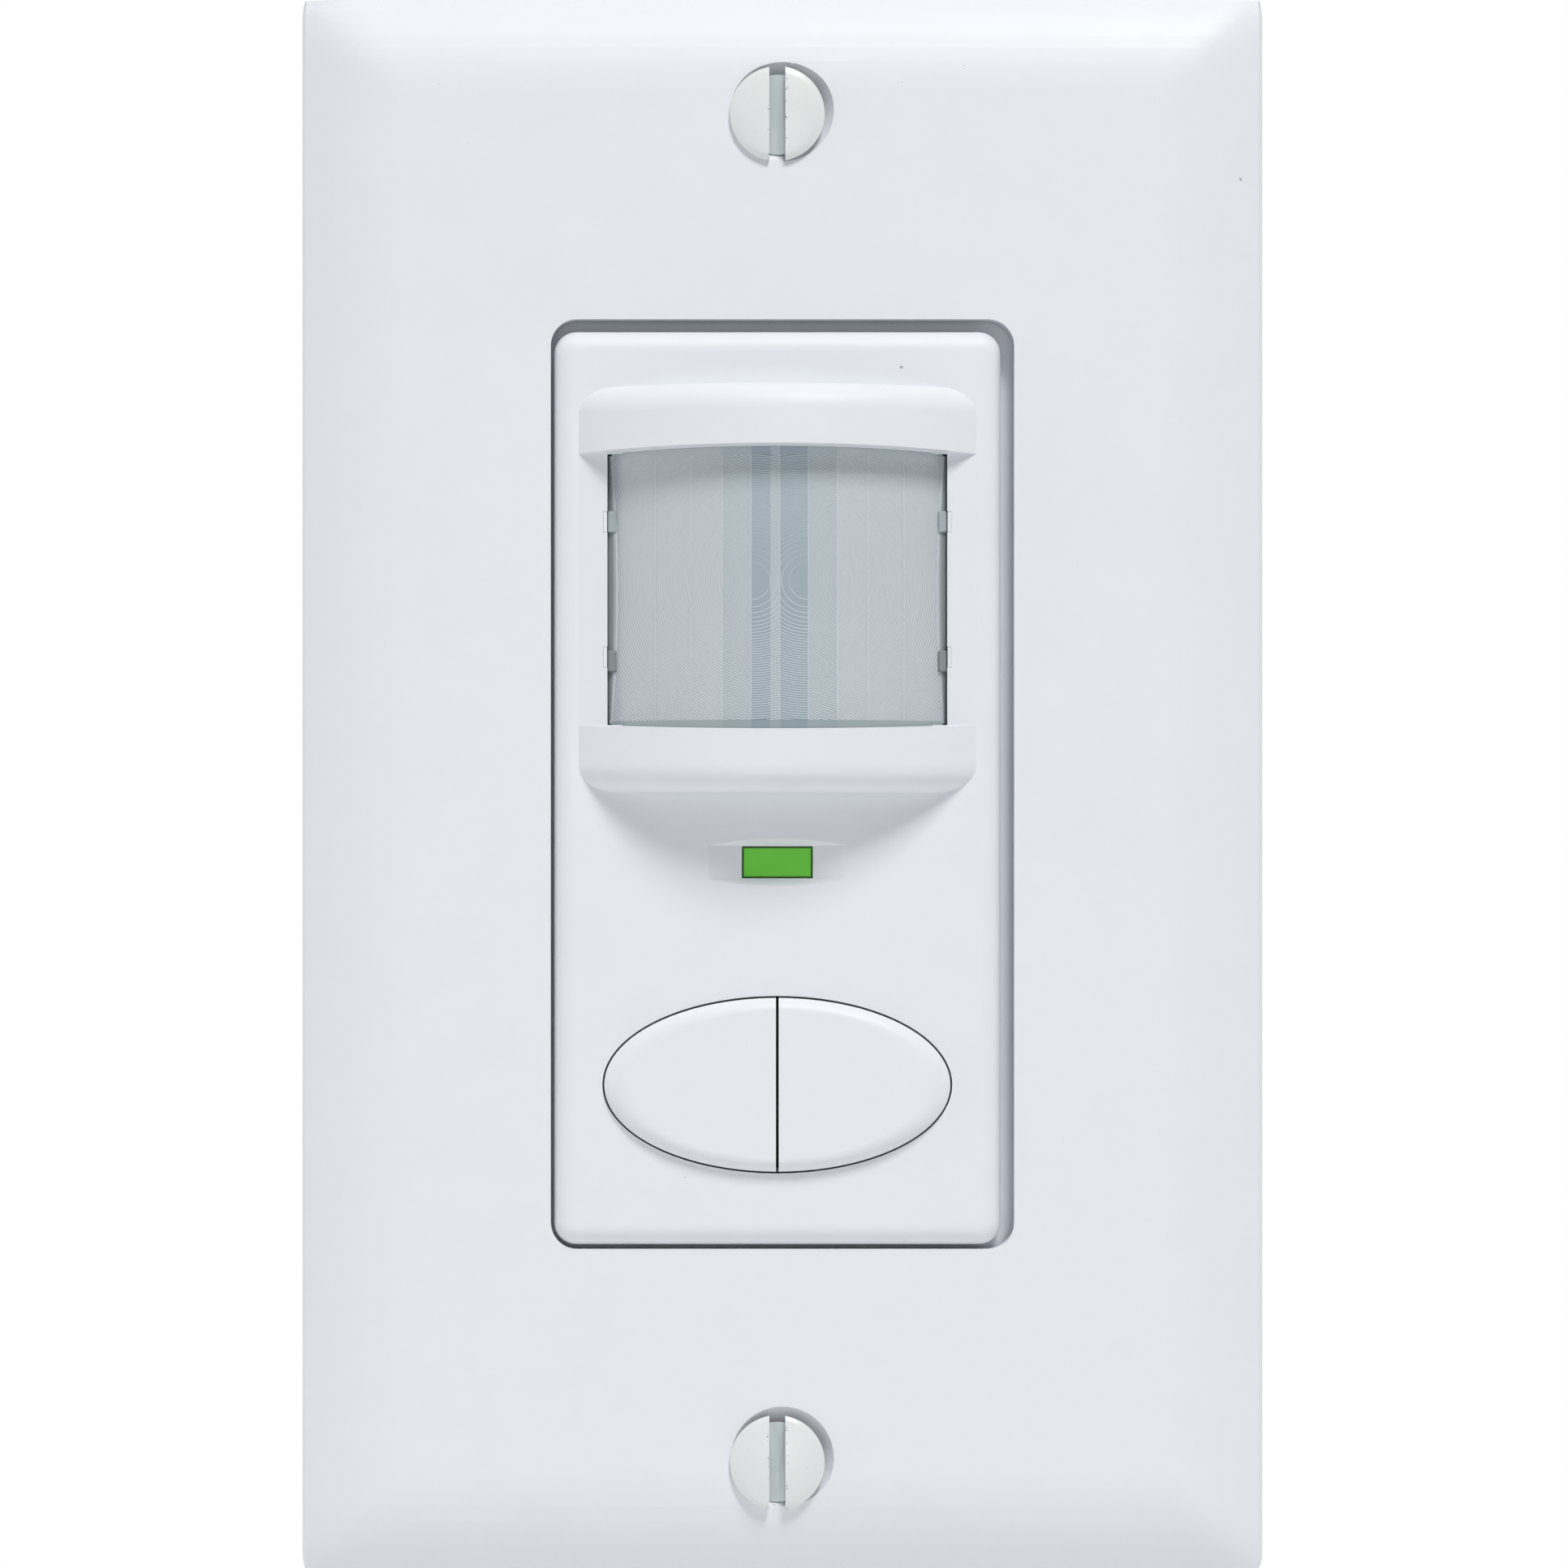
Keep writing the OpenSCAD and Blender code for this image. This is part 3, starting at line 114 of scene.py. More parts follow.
class Draft:
    """A mesh in the making, whose faces need corners APART and whose points are JOINED in the end."""

    APART = 1e-5
    JOINED = 0.002

    def __init__(self) -> None:
        """Starts with no points."""
        self.points: list[Point] = []
        self.faces: list[tuple[int, ...]] = []
        self.tones: list[int] = []

    def row(self, points: Sequence[Sequence[float]], place: Matrix | None = None) -> list[int]:
        """Adds points.

        Args:
            points: the points, in the draft's frame or in that of place.
            place: where they go, if they are not placed yet.

        Returns:
            The points' numbers.
        """
        first = len(self.points)
        for point in points:
            spot = place @ Vector(point) if place else Vector(point)
            self.points.append((spot.x, spot.y, spot.z))
        return list(range(first, len(self.points)))

    def face(self, corners: Sequence[int], tone: int = 0) -> None:
        """Adds one face, without corners that fall together.

        Args:
            corners: the numbers of its points.
            tone: its material's number.
        """
        kept = []
        for corner in corners:
            spot = Vector(self.points[corner])
            if all((spot - Vector(self.points[other])).length > self.APART for other in kept):
                kept.append(corner)
        if len(kept) > 2:
            self.faces.append(tuple(kept))
            self.tones.append(int(tone))

    def skin(self, rows: Sequence[Sequence[int]], closed: bool = False, looped: bool = False,
             tones: Sequence[int] | None = None) -> None:
        """Covers the room between rows of points.

        Args:
            rows: rows with the same number of points.
            closed: whether each row's end joins its start.
            looped: whether the last row joins the first.
            tones: the material number of each strip.
        """
        strips = len(rows) if looped else len(rows) - 1
        for strip in range(strips):
            low, high = rows[strip], rows[(strip + 1) % len(rows)]
            cells = len(low) if closed else len(low) - 1
            tone = tones[strip] if tones else 0
            for cell in range(cells):
                after = (cell + 1) % len(low)
                self.face((low[cell], low[after], high[after], high[cell]), tone)

    def cap(self, row: Sequence[int], flipped: bool = False, tone: int = 0) -> None:
        """Closes a ring of points with one face."""
        self.face(tuple(reversed(row)) if flipped else tuple(row), tone)

    def lathe(self, profile: Sequence[Pair], place: Matrix, steps: int) -> None:
        """Turns a profile round the z axis of place.

        Args:
            profile: a radius and a height for each ring.
            place: the frame of the axis.
            steps: the corners of each ring.
        """
        rows = [self.row(ring(around(steps), [radius] * steps, height), place) for radius, height in profile]
        self.skin(rows, closed=True)
        self.cap(rows[0], flipped=True)
        self.cap(rows[-1])

    def tube(self, path: Sequence[Point], radius: float, sides: int) -> None:
        """Runs a round wire along a path that meets itself.

        Args:
            path: points along the wire's middle.
            radius: the wire's radius.
            sides: the corners of its cross section.
        """
        spots = [Vector(point) for point in path]
        rows = []
        side = None
        for i, spot in enumerate(spots):
            along = (spots[(i + 1) % len(spots)] - spots[i - 1]).normalized()
            side = along.orthogonal() if side is None else side - along * side.dot(along)
            side.normalize()
            other = along.cross(side)
            section = [spot + radius * (side * math.cos(a) + other * math.sin(a)) for a in around(sides)]
            rows.append(self.row(section))
        self.skin(rows, closed=True, looped=True)

    def slab(self, low: Point, high: Point, edge: float, tone: int = 0) -> None:
        """Adds a box with every edge chamfered.

        Args:
            low: its lowest corner.
            high: its highest corner.
            edge: the chamfer's width.
            tone: its material's number.
        """
        (x0, y0, z0), (x1, y1, z1) = low, high
        rows = []
        for z, inset in ((z0, edge), (z0 + edge, 0.0), (z1 - edge, 0.0), (z1, edge)):
            a, b, c, d = x0 + inset, x1 - inset, y0 + inset, y1 - inset
            rows.append(self.row([
                (a + edge, c, z), (b - edge, c, z), (b, c + edge, z), (b, d - edge, z),
                (b - edge, d, z), (a + edge, d, z), (a, d - edge, z), (a, c + edge, z),
            ]))
        self.skin(rows, closed=True, tones=(tone,) * 3)
        self.cap(rows[0], flipped=True, tone=tone)
        self.cap(rows[-1], tone=tone)

    def build(self, name: str, materials: Sequence[bpy.types.Material], slot: str, replaced: str,
              crease: float = 38.0) -> None:
        """Makes the object, in place.

        Args:
            name: the piece's name.
            materials: its materials, by tone.
            slot: the record's slot for its finish; not used.
            replaced: the CAD node that it stands for.
            crease: edges sharper than this many degrees stay sharp.
        """
        mesh = bpy.data.meshes.new(name)
        mesh.from_pydata([[part * MM for part in point] for point in self.points], [], self.faces)
        for material in materials:
            mesh.materials.append(material)
        mesh.polygons.foreach_set("material_index", self.tones)
        joined = bmesh.new()
        joined.from_mesh(mesh)
        bmesh.ops.remove_doubles(joined, verts=joined.verts, dist=self.JOINED * MM)
        bmesh.ops.recalc_face_normals(joined, faces=joined.faces)
        joined.to_mesh(mesh)
        joined.free()
        mesh.validate()
        mesh.shade_smooth()
        mesh.set_sharp_from_angle(angle=math.radians(crease))
        settle(name, mesh, replaced)


class Sketch:
    """A node tree with short calls for its nodes and links."""

    def __init__(self, tree: bpy.types.NodeTree) -> None:
        """Holds the tree."""
        self.tree = tree

    def add(self, kind: str, **values: object) -> bpy.types.Node:
        """Adds a node.

        Args:
            kind: the node's type.
            values: its settings, and its inputs by name with spaces as underscores.

        Returns:
            The node.
        """
        node = self.tree.nodes.new(kind)
        for key, value in values.items():
            if hasattr(node, key):
                setattr(node, key, value)
            else:
                self.feed(node.inputs[key.replace("_", " ")], value)
        return node

    def join(self, start: Socket, end: Socket) -> None:
        """Links two sockets."""
        self.tree.links.new(start, end)

    def feed(self, socket: Socket, value: object) -> None:
        """Gives an input its value.

        Args:
            socket: the input.
            value: a socket to link it to, a colour or a number.
        """
        if isinstance(value, Socket):
            self.join(value, socket)
        else:
            socket.default_value = (*value, 1.0) if isinstance(value, tuple) else value

    def math(self, operation: str, *values: object) -> Socket:
        """Adds a sum of one to three values.

        Args:
            operation: the math node's operation.
            values: sockets or numbers.

        Returns:
            The result's socket.
        """
        node = self.add("ShaderNodeMath", operation=operation)
        for socket, value in zip(node.inputs, values):
            self.feed(socket, value)
        return node.outputs["Value"]

    def blend(self, share: object, first: object, second: object, way: str = "MIX") -> Socket:
        """Mixes two colours.

        Args:
            share: a socket or a number for the second colour's share.
            first: a colour's socket or value.
            second: a colour's socket or value.
            way: the way of mixing.

        Returns:
            The mixed colour's socket.
        """
        node = self.add("ShaderNodeMix", data_type="RGBA", blend_type=way)
        for number, value in ((0, share), (6, first), (7, second)):
            self.feed(node.inputs[number], value)
        return node.outputs[2]

    def ramp(self, value: Socket, low: float, high: float) -> Socket:
        """Returns a value's eased rise from 0 at low to 1 at high."""
        node = self.add("ShaderNodeMapRange", interpolation_type="SMOOTHSTEP", Value=value,
                        From_Min=low, From_Max=high)
        return node.outputs["Result"]

    def millimetres(self) -> Socket:
        """Returns the place on the switch, in millimetres."""
        place = self.add("ShaderNodeTexCoord").outputs["Object"]
        scaled = self.add("ShaderNodeVectorMath", operation="SCALE", Vector=place, Scale=1 / MM)
        return scaled.outputs["Vector"]

    def axes(self) -> bpy.types.bpy_prop_collection:
        """Returns the place on the switch along X, Y and Z, in millimetres."""
        return self.add("ShaderNodeSeparateXYZ", Vector=self.millimetres()).outputs

    def noise(self, scale: float, detail: float, stretch: Point = (1.0, 1.0, 1.0)) -> Socket:
        """Adds cloudy noise.

        Args:
            scale: about how many features there are in a millimetre.
            detail: its finer layers.
            stretch: how much of the scale holds along each axis.

        Returns:
            The noise's socket.
        """
        spread = self.add("ShaderNodeVectorMath", operation="MULTIPLY")
        self.join(self.millimetres(), spread.inputs[0])
        spread.inputs[1].default_value = stretch
        return self.add("ShaderNodeTexNoise", Scale=scale, Detail=detail,
                        Vector=spread.outputs["Vector"]).outputs["Fac"]


class Effect(Enum):
    """Surface effects that several finishes share."""

    GRAIN = "moulded_grain"
    SPECKS = "dark_specks"
    PLATING = "plated_streaks"

    def group(self) -> bpy.types.NodeTree:
        """Returns the effect's node group, built once."""
        if self.value in bpy.data.node_groups:
            return bpy.data.node_groups[self.value]
        tree = bpy.data.node_groups.new(self.value, "ShaderNodeTree")
        {Effect.GRAIN: _grain, Effect.SPECKS: _specks, Effect.PLATING: _plating}[self](tree)
        return tree

    def place(self, sketch: Sketch, **values: object) -> bpy.types.Node:
        """Puts the effect into a material, with values for the group's inputs by name."""
        return sketch.add("ShaderNodeGroup", node_tree=self.group(), **values)


SKIN = {"Colour": "Color", "Roughness": "Float", "Height": "Float"}
CLOUD_TONE = (0.55, 0.56, 0.58)


def _sockets(tree: bpy.types.NodeTree, inputs: dict[str, str],
             outputs: dict[str, str]) -> tuple[Sketch, dict, dict]:
    """Gives a group its sockets.

    Args:
        tree: the group.
        inputs: the kind of each input.
        outputs: the kind of each output.

    Returns:
        The group's sketch, its input sockets and its output sockets.
    """
    for way, kinds in (("INPUT", inputs), ("OUTPUT", outputs)):
        for name, kind in kinds.items():
            tree.interface.new_socket(name, in_out=way, socket_type="NodeSocket" + kind)
    sketch = Sketch(tree)
    given = sketch.add("NodeGroupInput")
    result = sketch.add("NodeGroupOutput")
    return sketch, dict(given.outputs.items()), dict(result.inputs.items())


def _skin(sketch: Sketch, given: dict, result: dict, relief: Socket, drift: float) -> None:
    """Ends a skin's group with its relief, and with a roughness that drifts with the relief.

    Args:
        sketch: the group's sketch.
        given: its input sockets.
        result: its output sockets.
        relief: the relief's socket.
        drift: how far the roughness drifts.
    """
    change = sketch.math("MULTIPLY", sketch.math("SUBTRACT", relief, 0.5), drift)
    sketch.join(sketch.math("ADD", given["Roughness"], change), result["Roughness"])
    sketch.join(relief, result["Height"])


def _grain(tree: bpy.types.NodeTree) -> None:
    """Builds the grain of a moulded skin: faint clouds of tone and a fine pebble."""
    inputs = {"Colour": "Color", "Mottle": "Float", "Roughness": "Float"}
    sketch, given, result = _sockets(tree, inputs, SKIN)
    cloud = sketch.noise(scale=0.18, detail=4.0)
    pebble = sketch.noise(scale=5.0, detail=3.0)
    shade = sketch.math("MULTIPLY", given["Mottle"], cloud)
    sketch.join(sketch.blend(shade, given["Colour"], CLOUD_TONE, "MULTIPLY"), result["Colour"])
    _skin(sketch, given, result, pebble, drift=0.16)


def _specks(tree: bpy.types.NodeTree) -> None:
    """Builds sparse specks: small spots in a few of many cells."""
    inputs = {"Cells": "Float", "Share": "Float", "Size": "Float"}
    sketch, given, result = _sockets(tree, inputs, {"Mask": "Float"})
    cells = sketch.add("ShaderNodeTexVoronoi", Vector=sketch.millimetres(), Scale=given["Cells"])
    chosen = sketch.add("ShaderNodeSeparateColor", Color=cells.outputs["Color"])
    picked = sketch.math("LESS_THAN", chosen.outputs["Red"], given["Share"])
    size = sketch.math("MULTIPLY", given["Size"], chosen.outputs["Green"])
    inside = sketch.math("LESS_THAN", cells.outputs["Distance"], size)
    sketch.join(sketch.math("MULTIPLY", picked, inside), result["Mask"])


def _plating(tree: bpy.types.NodeTree) -> None:
    """Builds rolled and plated metal: long streaks with clouds of tarnish."""
    inputs = {"Colour": "Color", "Tarnish": "Color", "Roughness": "Float"}
    sketch, given, result = _sockets(tree, inputs, SKIN)
    streak = sketch.noise(scale=3.0, detail=3.0, stretch=(1.0, 1.0, 0.08))
    cloud = sketch.noise(scale=0.35, detail=4.0)
    share = sketch.math("MULTIPLY", sketch.math("MULTIPLY", cloud, cloud), 0.8)
    sketch.join(sketch.blend(share, given["Colour"], given["Tarnish"]), result["Colour"])
    _skin(sketch, given, result, streak, drift=0.3)


@dataclass(frozen=True)
class Finish:
    """A surface of the switch: an effect that finishes share, under this one's own colours.

    Each kind also has a roughness, the mottle of its tone, and its relief's depth and strength.
    """

    colour: Colour
    metallic = 0.0
    gloss = 0.5
    strength = 0.0

    def effect(self, sketch: Sketch) -> bpy.types.Node:
        """Returns the shared effect in the material: a moulded grain, unless the finish has another."""
        return Effect.GRAIN.place(sketch, Colour=self.colour, Mottle=self.mottle, Roughness=self.roughness)

    def paint(self, sketch: Sketch, shader: bpy.types.Node, base: Socket) -> Socket:
        """Adds the finish's own colours.

        Args:
            sketch: the material's sketch.
            shader: its principled shader.
            base: the colour that the effect gives.

        Returns:
            The socket of the colour that shows.
        """
        return base

    def material(self, name: str) -> bpy.types.Material:
        """Makes the finish.

        Args:
            name: the material's name.

        Returns:
            The material.
        """
        made = bpy.data.materials.new(name)
        made.use_nodes = True
        made.node_tree.nodes.clear()
        sketch = Sketch(made.node_tree)
        shader = sketch.add("ShaderNodeBsdfPrincipled", Metallic=self.metallic,
                            Specular_IOR_Level=self.gloss, Emission_Strength=self.strength)
        sketch.add("ShaderNodeOutputMaterial", Surface=shader.outputs["BSDF"])
        effect = self.effect(sketch).outputs
        sketch.join(self.paint(sketch, shader, effect["Colour"]), shader.inputs["Base Color"])
        sketch.join(effect["Roughness"], shader.inputs["Roughness"])
        if self.relief:
            depth, strength = self.relief
            bump = sketch.add("ShaderNodeBump", Strength=strength, Distance=depth * MM,
                              Height=effect["Height"])
            sketch.join(bump.outputs["Normal"], shader.inputs["Normal"])
        return made


@dataclass(frozen=True)
class Moulded(Finish):
    """Moulded plastic with a fine skin and a few dark specks."""

    roughness: float = 0.36
    mottle: float = 0.1
    relief: Pair = (0.01, 0.12)
    gloss: float = 0.5
    specks: float = 0.0
    speck_cells: float = 0.45
    speck_size: float = 0.06
    speck_colour: Colour = (0.42, 0.42, 0.41)

    def paint(self, sketch: Sketch, shader: bpy.types.Node, base: Socket) -> Socket:
        """Returns the colour with its specks."""
        if not self.specks:
            return base
        dots = Effect.SPECKS.place(sketch, Cells=self.speck_cells, Share=self.specks, Size=self.speck_size)
        return sketch.blend(dots.outputs["Mask"], base, self.speck_colour)


@dataclass(frozen=True)
class Plated(Finish):
    """Bare or plated metal with streaks and a little tarnish."""

    tarnish: Colour
    roughness: float
    relief: Pair = (0.008, 0.15)
    metallic: float = 1.0

    def effect(self, sketch: Sketch) -> bpy.types.Node:
        """Returns the streaks of plated metal."""
        return Effect.PLATING.place(
            sketch, Colour=self.colour, Tarnish=self.tarnish, Roughness=self.roughness)


@dataclass(frozen=True)
class Enamel(Finish):
    """Enamelled metal with chips along the driver slot."""

    chip: Colour
    roughness: float = 0.3
    mottle: float = 0.12
    relief: Pair = (0.02, 0.2)
    slot_half: float = 0.575
    chipped: float = 0.22
    flakes: Pair = (3.4, 3.0)
    worn: float = 0.36

    def paint(self, sketch: Sketch, shader: bpy.types.Node, base: Socket) -> Socket:
        """Returns the colour with chips near the edges of the slot."""
        edge = sketch.math("SUBTRACT", sketch.math("ABSOLUTE", sketch.axes()["X"]), self.slot_half)
        near = sketch.math("LESS_THAN", sketch.math("ABSOLUTE", edge), self.chipped)
        flakes = sketch.math("GREATER_THAN", sketch.noise(*self.flakes), 1.0 - self.worn)
        return sketch.blend(sketch.math("MULTIPLY", near, flakes), base, self.chip)


@dataclass(frozen=True)
class Film(Finish):
    """Lens film of the translucent lens, with painted shade: darker zones round the middle stand in for the
    dark room seen through it.
    """

    # deep: the colour of the painted shade, for the dark room behind the lens
    deep: Colour
    roughness: float = 0.42
    mottle: float = 0.12
    relief: Pair = (0.01, 0.1)
    gloss: float = 0.25
    middle: float = 0.17
    zones: Pair = (2.0, 4.06)
    outer_share: float = 0.35
    stripe: Pair = (-0.655, 0.03)
    stripe_share: float = -0.75

    def paint(self, sketch: Sketch, shader: bpy.types.Node, base: Socket) -> Socket:
        """Returns the colour with painted shade in two zones round the middle, and a lighter stripe with
        less painted shade in the inner one.
        """
        place = sketch.math("SUBTRACT", sketch.axes()["X"], self.middle)
        across = sketch.math("ABSOLUTE", place)
        inner, outer = (sketch.math("LESS_THAN", across, zone) for zone in self.zones)
        lit = sketch.math("MULTIPLY", sketch.math("GREATER_THAN", place, self.stripe[0]),
                          sketch.math("LESS_THAN", place, self.stripe[1]))
        inner = sketch.math("MULTIPLY_ADD", lit, self.stripe_share, inner)
        share = sketch.math("MAXIMUM", sketch.math("MULTIPLY", outer, self.outer_share), inner)
        # painted shade: the deep colour mixed into the film by zone
        return sketch.blend(share, base, self.deep)


@dataclass(frozen=True)
class LitWindow(Finish):
    """Tinted plastic with a light behind it, with painted shade along the window's edges."""

    glow: Colour
    # shade: the colour of the painted shade on the rim, in the base colour and in the glow
    shade: Colour = (0.04, 0.12, 0.025)
    roughness: float = 0.45
    mottle: float = 0.3
    relief: Pair | None = None
    gloss: float = 0.12
    strength: float = 0.27
    middle: Pair = (0.0, -5.33)
    size: Pair = (4.9, 2.1)
    rim: float = 0.1

    def border(self, sketch: Sketch) -> Socket:
        """Finds the rim of the window.

        Args:
            sketch: the material's sketch.

        Returns:
            The socket of a mask that rises from 0 to 1 over the rim.
        """
        place = sketch.axes()
        past = []
        for axis, middle, size in zip("XZ", self.middle, self.size):
            away = sketch.math("ABSOLUTE", sketch.math("SUBTRACT", place[axis], middle))
            past.append(sketch.math("SUBTRACT", away, size / 2 - self.rim))
        share = sketch.math("DIVIDE", sketch.math("MAXIMUM", *past), self.rim)
        return sketch.math("MINIMUM", sketch.math("MAXIMUM", share, 0.0), 1.0)

    def paint(self, sketch: Sketch, shader: bpy.types.Node, base: Socket) -> Socket:
        """Lights the window, and returns its colour with painted shade on the rim."""
        border = self.border(sketch)
        sketch.join(sketch.blend(border, self.glow, self.shade), shader.inputs["Emission Color"])
        return sketch.blend(border, base, self.shade)


@dataclass(frozen=True)
class SolderMask(Finish):
    """A circuit board's green mask over its copper."""

    track: Colour
    roughness: float = 0.3
    mottle: float = 0.3
    relief: Pair = (0.01, 0.1)
    lane_scale: float = 0.3
    lane_width: float = 0.03

    def paint(self, sketch: Sketch, shader: bpy.types.Node, base: Socket) -> Socket:
        """Returns the colour with the copper's lanes."""
        lanes = sketch.add("ShaderNodeTexBrick", Scale=self.lane_scale, Mortar_Size=self.lane_width,
                           Mortar_Smooth=0.0, Vector=sketch.millimetres())
        return sketch.blend(lanes.outputs["Fac"], base, self.track)


WHITE = (0.798, 0.823, 0.87)
# The finish of each slot of the record, with its colours and then its roughness.
FINISHES = {
    "plate_white": Moulded(WHITE, 0.42, mottle=0.08, gloss=0.25, specks=0.08),
    "face_white": Moulded(WHITE, 0.45, mottle=0.08, gloss=0.25, specks=0.04),
    "button_white": Moulded(WHITE, 0.4, mottle=0.06, relief=(0.01, 0.1), gloss=0.25, specks=0.04),
    "painted_screw": Enamel((0.76, 0.785, 0.79), (0.30, 0.31, 0.33)),
    # the lens film's second colour is painted shade, for the dark room behind the lens
    "lens_film": Film((0.522, 0.574, 0.615), (0.338, 0.408, 0.46)),
    "indicator_green": LitWindow((0.124, 0.45, 0.056), (0.114, 0.54, 0.037)),
    "dark_frame": Moulded((0.05, 0.05, 0.055), 0.6),
    "plunger_black": Moulded((0.03, 0.03, 0.03), 0.5),
    "board_green": SolderMask((0.02, 0.14, 0.05), (0.05, 0.26, 0.10)),
    "can_steel": Plated((0.62, 0.62, 0.60), (0.45, 0.44, 0.42), 0.24),
    "filter_dark": Moulded((0.03, 0.02, 0.03), 0.12),
    "lamp_white": Moulded((0.80, 0.82, 0.74), 0.25),
    "chip_black": Moulded((0.02, 0.02, 0.02), 0.5),
    "pin_brass": Plated((0.75, 0.58, 0.25), (0.6, 0.44, 0.18), 0.25),
    "relay_case": Moulded((0.02, 0.02, 0.025), 0.35),
    "film_yellow": Moulded((0.75, 0.52, 0.06), 0.3),
    "sleeve_blue": Moulded((0.03, 0.05, 0.14), 0.25),
    "varistor_blue": Moulded((0.03, 0.11, 0.36), 0.35),
    "ferrite": Moulded((0.06, 0.06, 0.065), 0.55, mottle=0.3),
    "copper_wire": Plated((0.55, 0.24, 0.08), (0.4, 0.15, 0.05), 0.2),
    "fuse_metal": Plated((0.66, 0.66, 0.64), (0.5, 0.5, 0.48), 0.28),
    "yoke_steel": Plated((0.60, 0.61, 0.60), (0.46, 0.45, 0.42), 0.34),
    "screw_steel": Plated((0.58, 0.58, 0.56), (0.42, 0.41, 0.38), 0.3),
    "ground_green": Enamel((0.03, 0.25, 0.07), (0.45, 0.45, 0.4)),
    "housing_dark": Moulded((0.10, 0.10, 0.11), 0.5, mottle=0.2, relief=(0.01, 0.3)),
    "terminal_brass": Plated((0.72, 0.52, 0.20), (0.52, 0.34, 0.12), 0.28),
}
# The second colour of each lens film is painted shade, for the dark room behind the lens.
LENS_RIDGES = Film((0.555, 0.60, 0.635), (0.45, 0.52, 0.56))
# painted shade along the lens's lower border where it meets the lip, also on the skirts' second strip and
# the upper catches
LENS_EDGE_SHADE = Film((0.37, 0.425, 0.45), (0.28, 0.35, 0.39))
# painted shade on the skirts, in the narrow slits beside the lens
LENS_SLIT_SHADE = Film((0.235, 0.265, 0.268), (0.235, 0.265, 0.268))
LENS_SEAMS = Film((0.60, 0.645, 0.68), (0.45, 0.515, 0.56))
WORN_SLOT = Plated((0.37, 0.405, 0.42), (0.27, 0.30, 0.31), 0.45)
PALE_FLOOR = Moulded((0.85, 0.85, 0.85), 0.7, mottle=0.02, relief=(0.01, 0.02))

# The CAD nodes whose sharp edges are broken, and how widely.
BROKEN_EDGES = {"front_cover": 0.06, "left_button": 0.04, "right_button": 0.04, "indicator_light_pipe": 0.1,
                "rear_housing": 0.2, "mounting_strap": 0.08, "terminal_plates": 0.08}


class Finishes:
    """The materials of the record's slots."""

    def __init__(self) -> None:
        """Makes one material for each slot."""
        self.made = {slot: finish.material(slot) for slot, finish in FINISHES.items()}

    def __getitem__(self, slot: str) -> bpy.types.Material:
        """Returns a slot's material."""
        return self.made[slot]

    def dress_frame(self) -> None:
        """Gives every CAD node the finish that the record names."""
        for subpart in frame["record"]["subparts"]:
            node = frame["nodes"][subpart["node"]]
            node.data.materials.clear()
            node.data.materials.append(self.made[subpart["material_slot"]])
            LOG.info("node %s: %s", subpart["node"], subpart["material_slot"])


def soften(piece: bpy.types.Object, width: float, angle: float = 40.0, hardened: bool = True) -> None:
    """Breaks the sharp edges of a piece or a CAD node, which keeps its own mesh.

    Args:
        piece: the piece or node.
        width: the width of the broken edge, in millimetres.
        angle: edges sharper than this many degrees are broken.
        hardened: whether the faces beside the edges keep their shading.
    """
    bevel = piece.modifiers.new("broken_edges", "BEVEL")
    bevel.width = width * MM
    bevel.segments = 2
    bevel.limit_method = "ANGLE"
    bevel.angle_limit = math.radians(angle)
    bevel.harden_normals = hardened


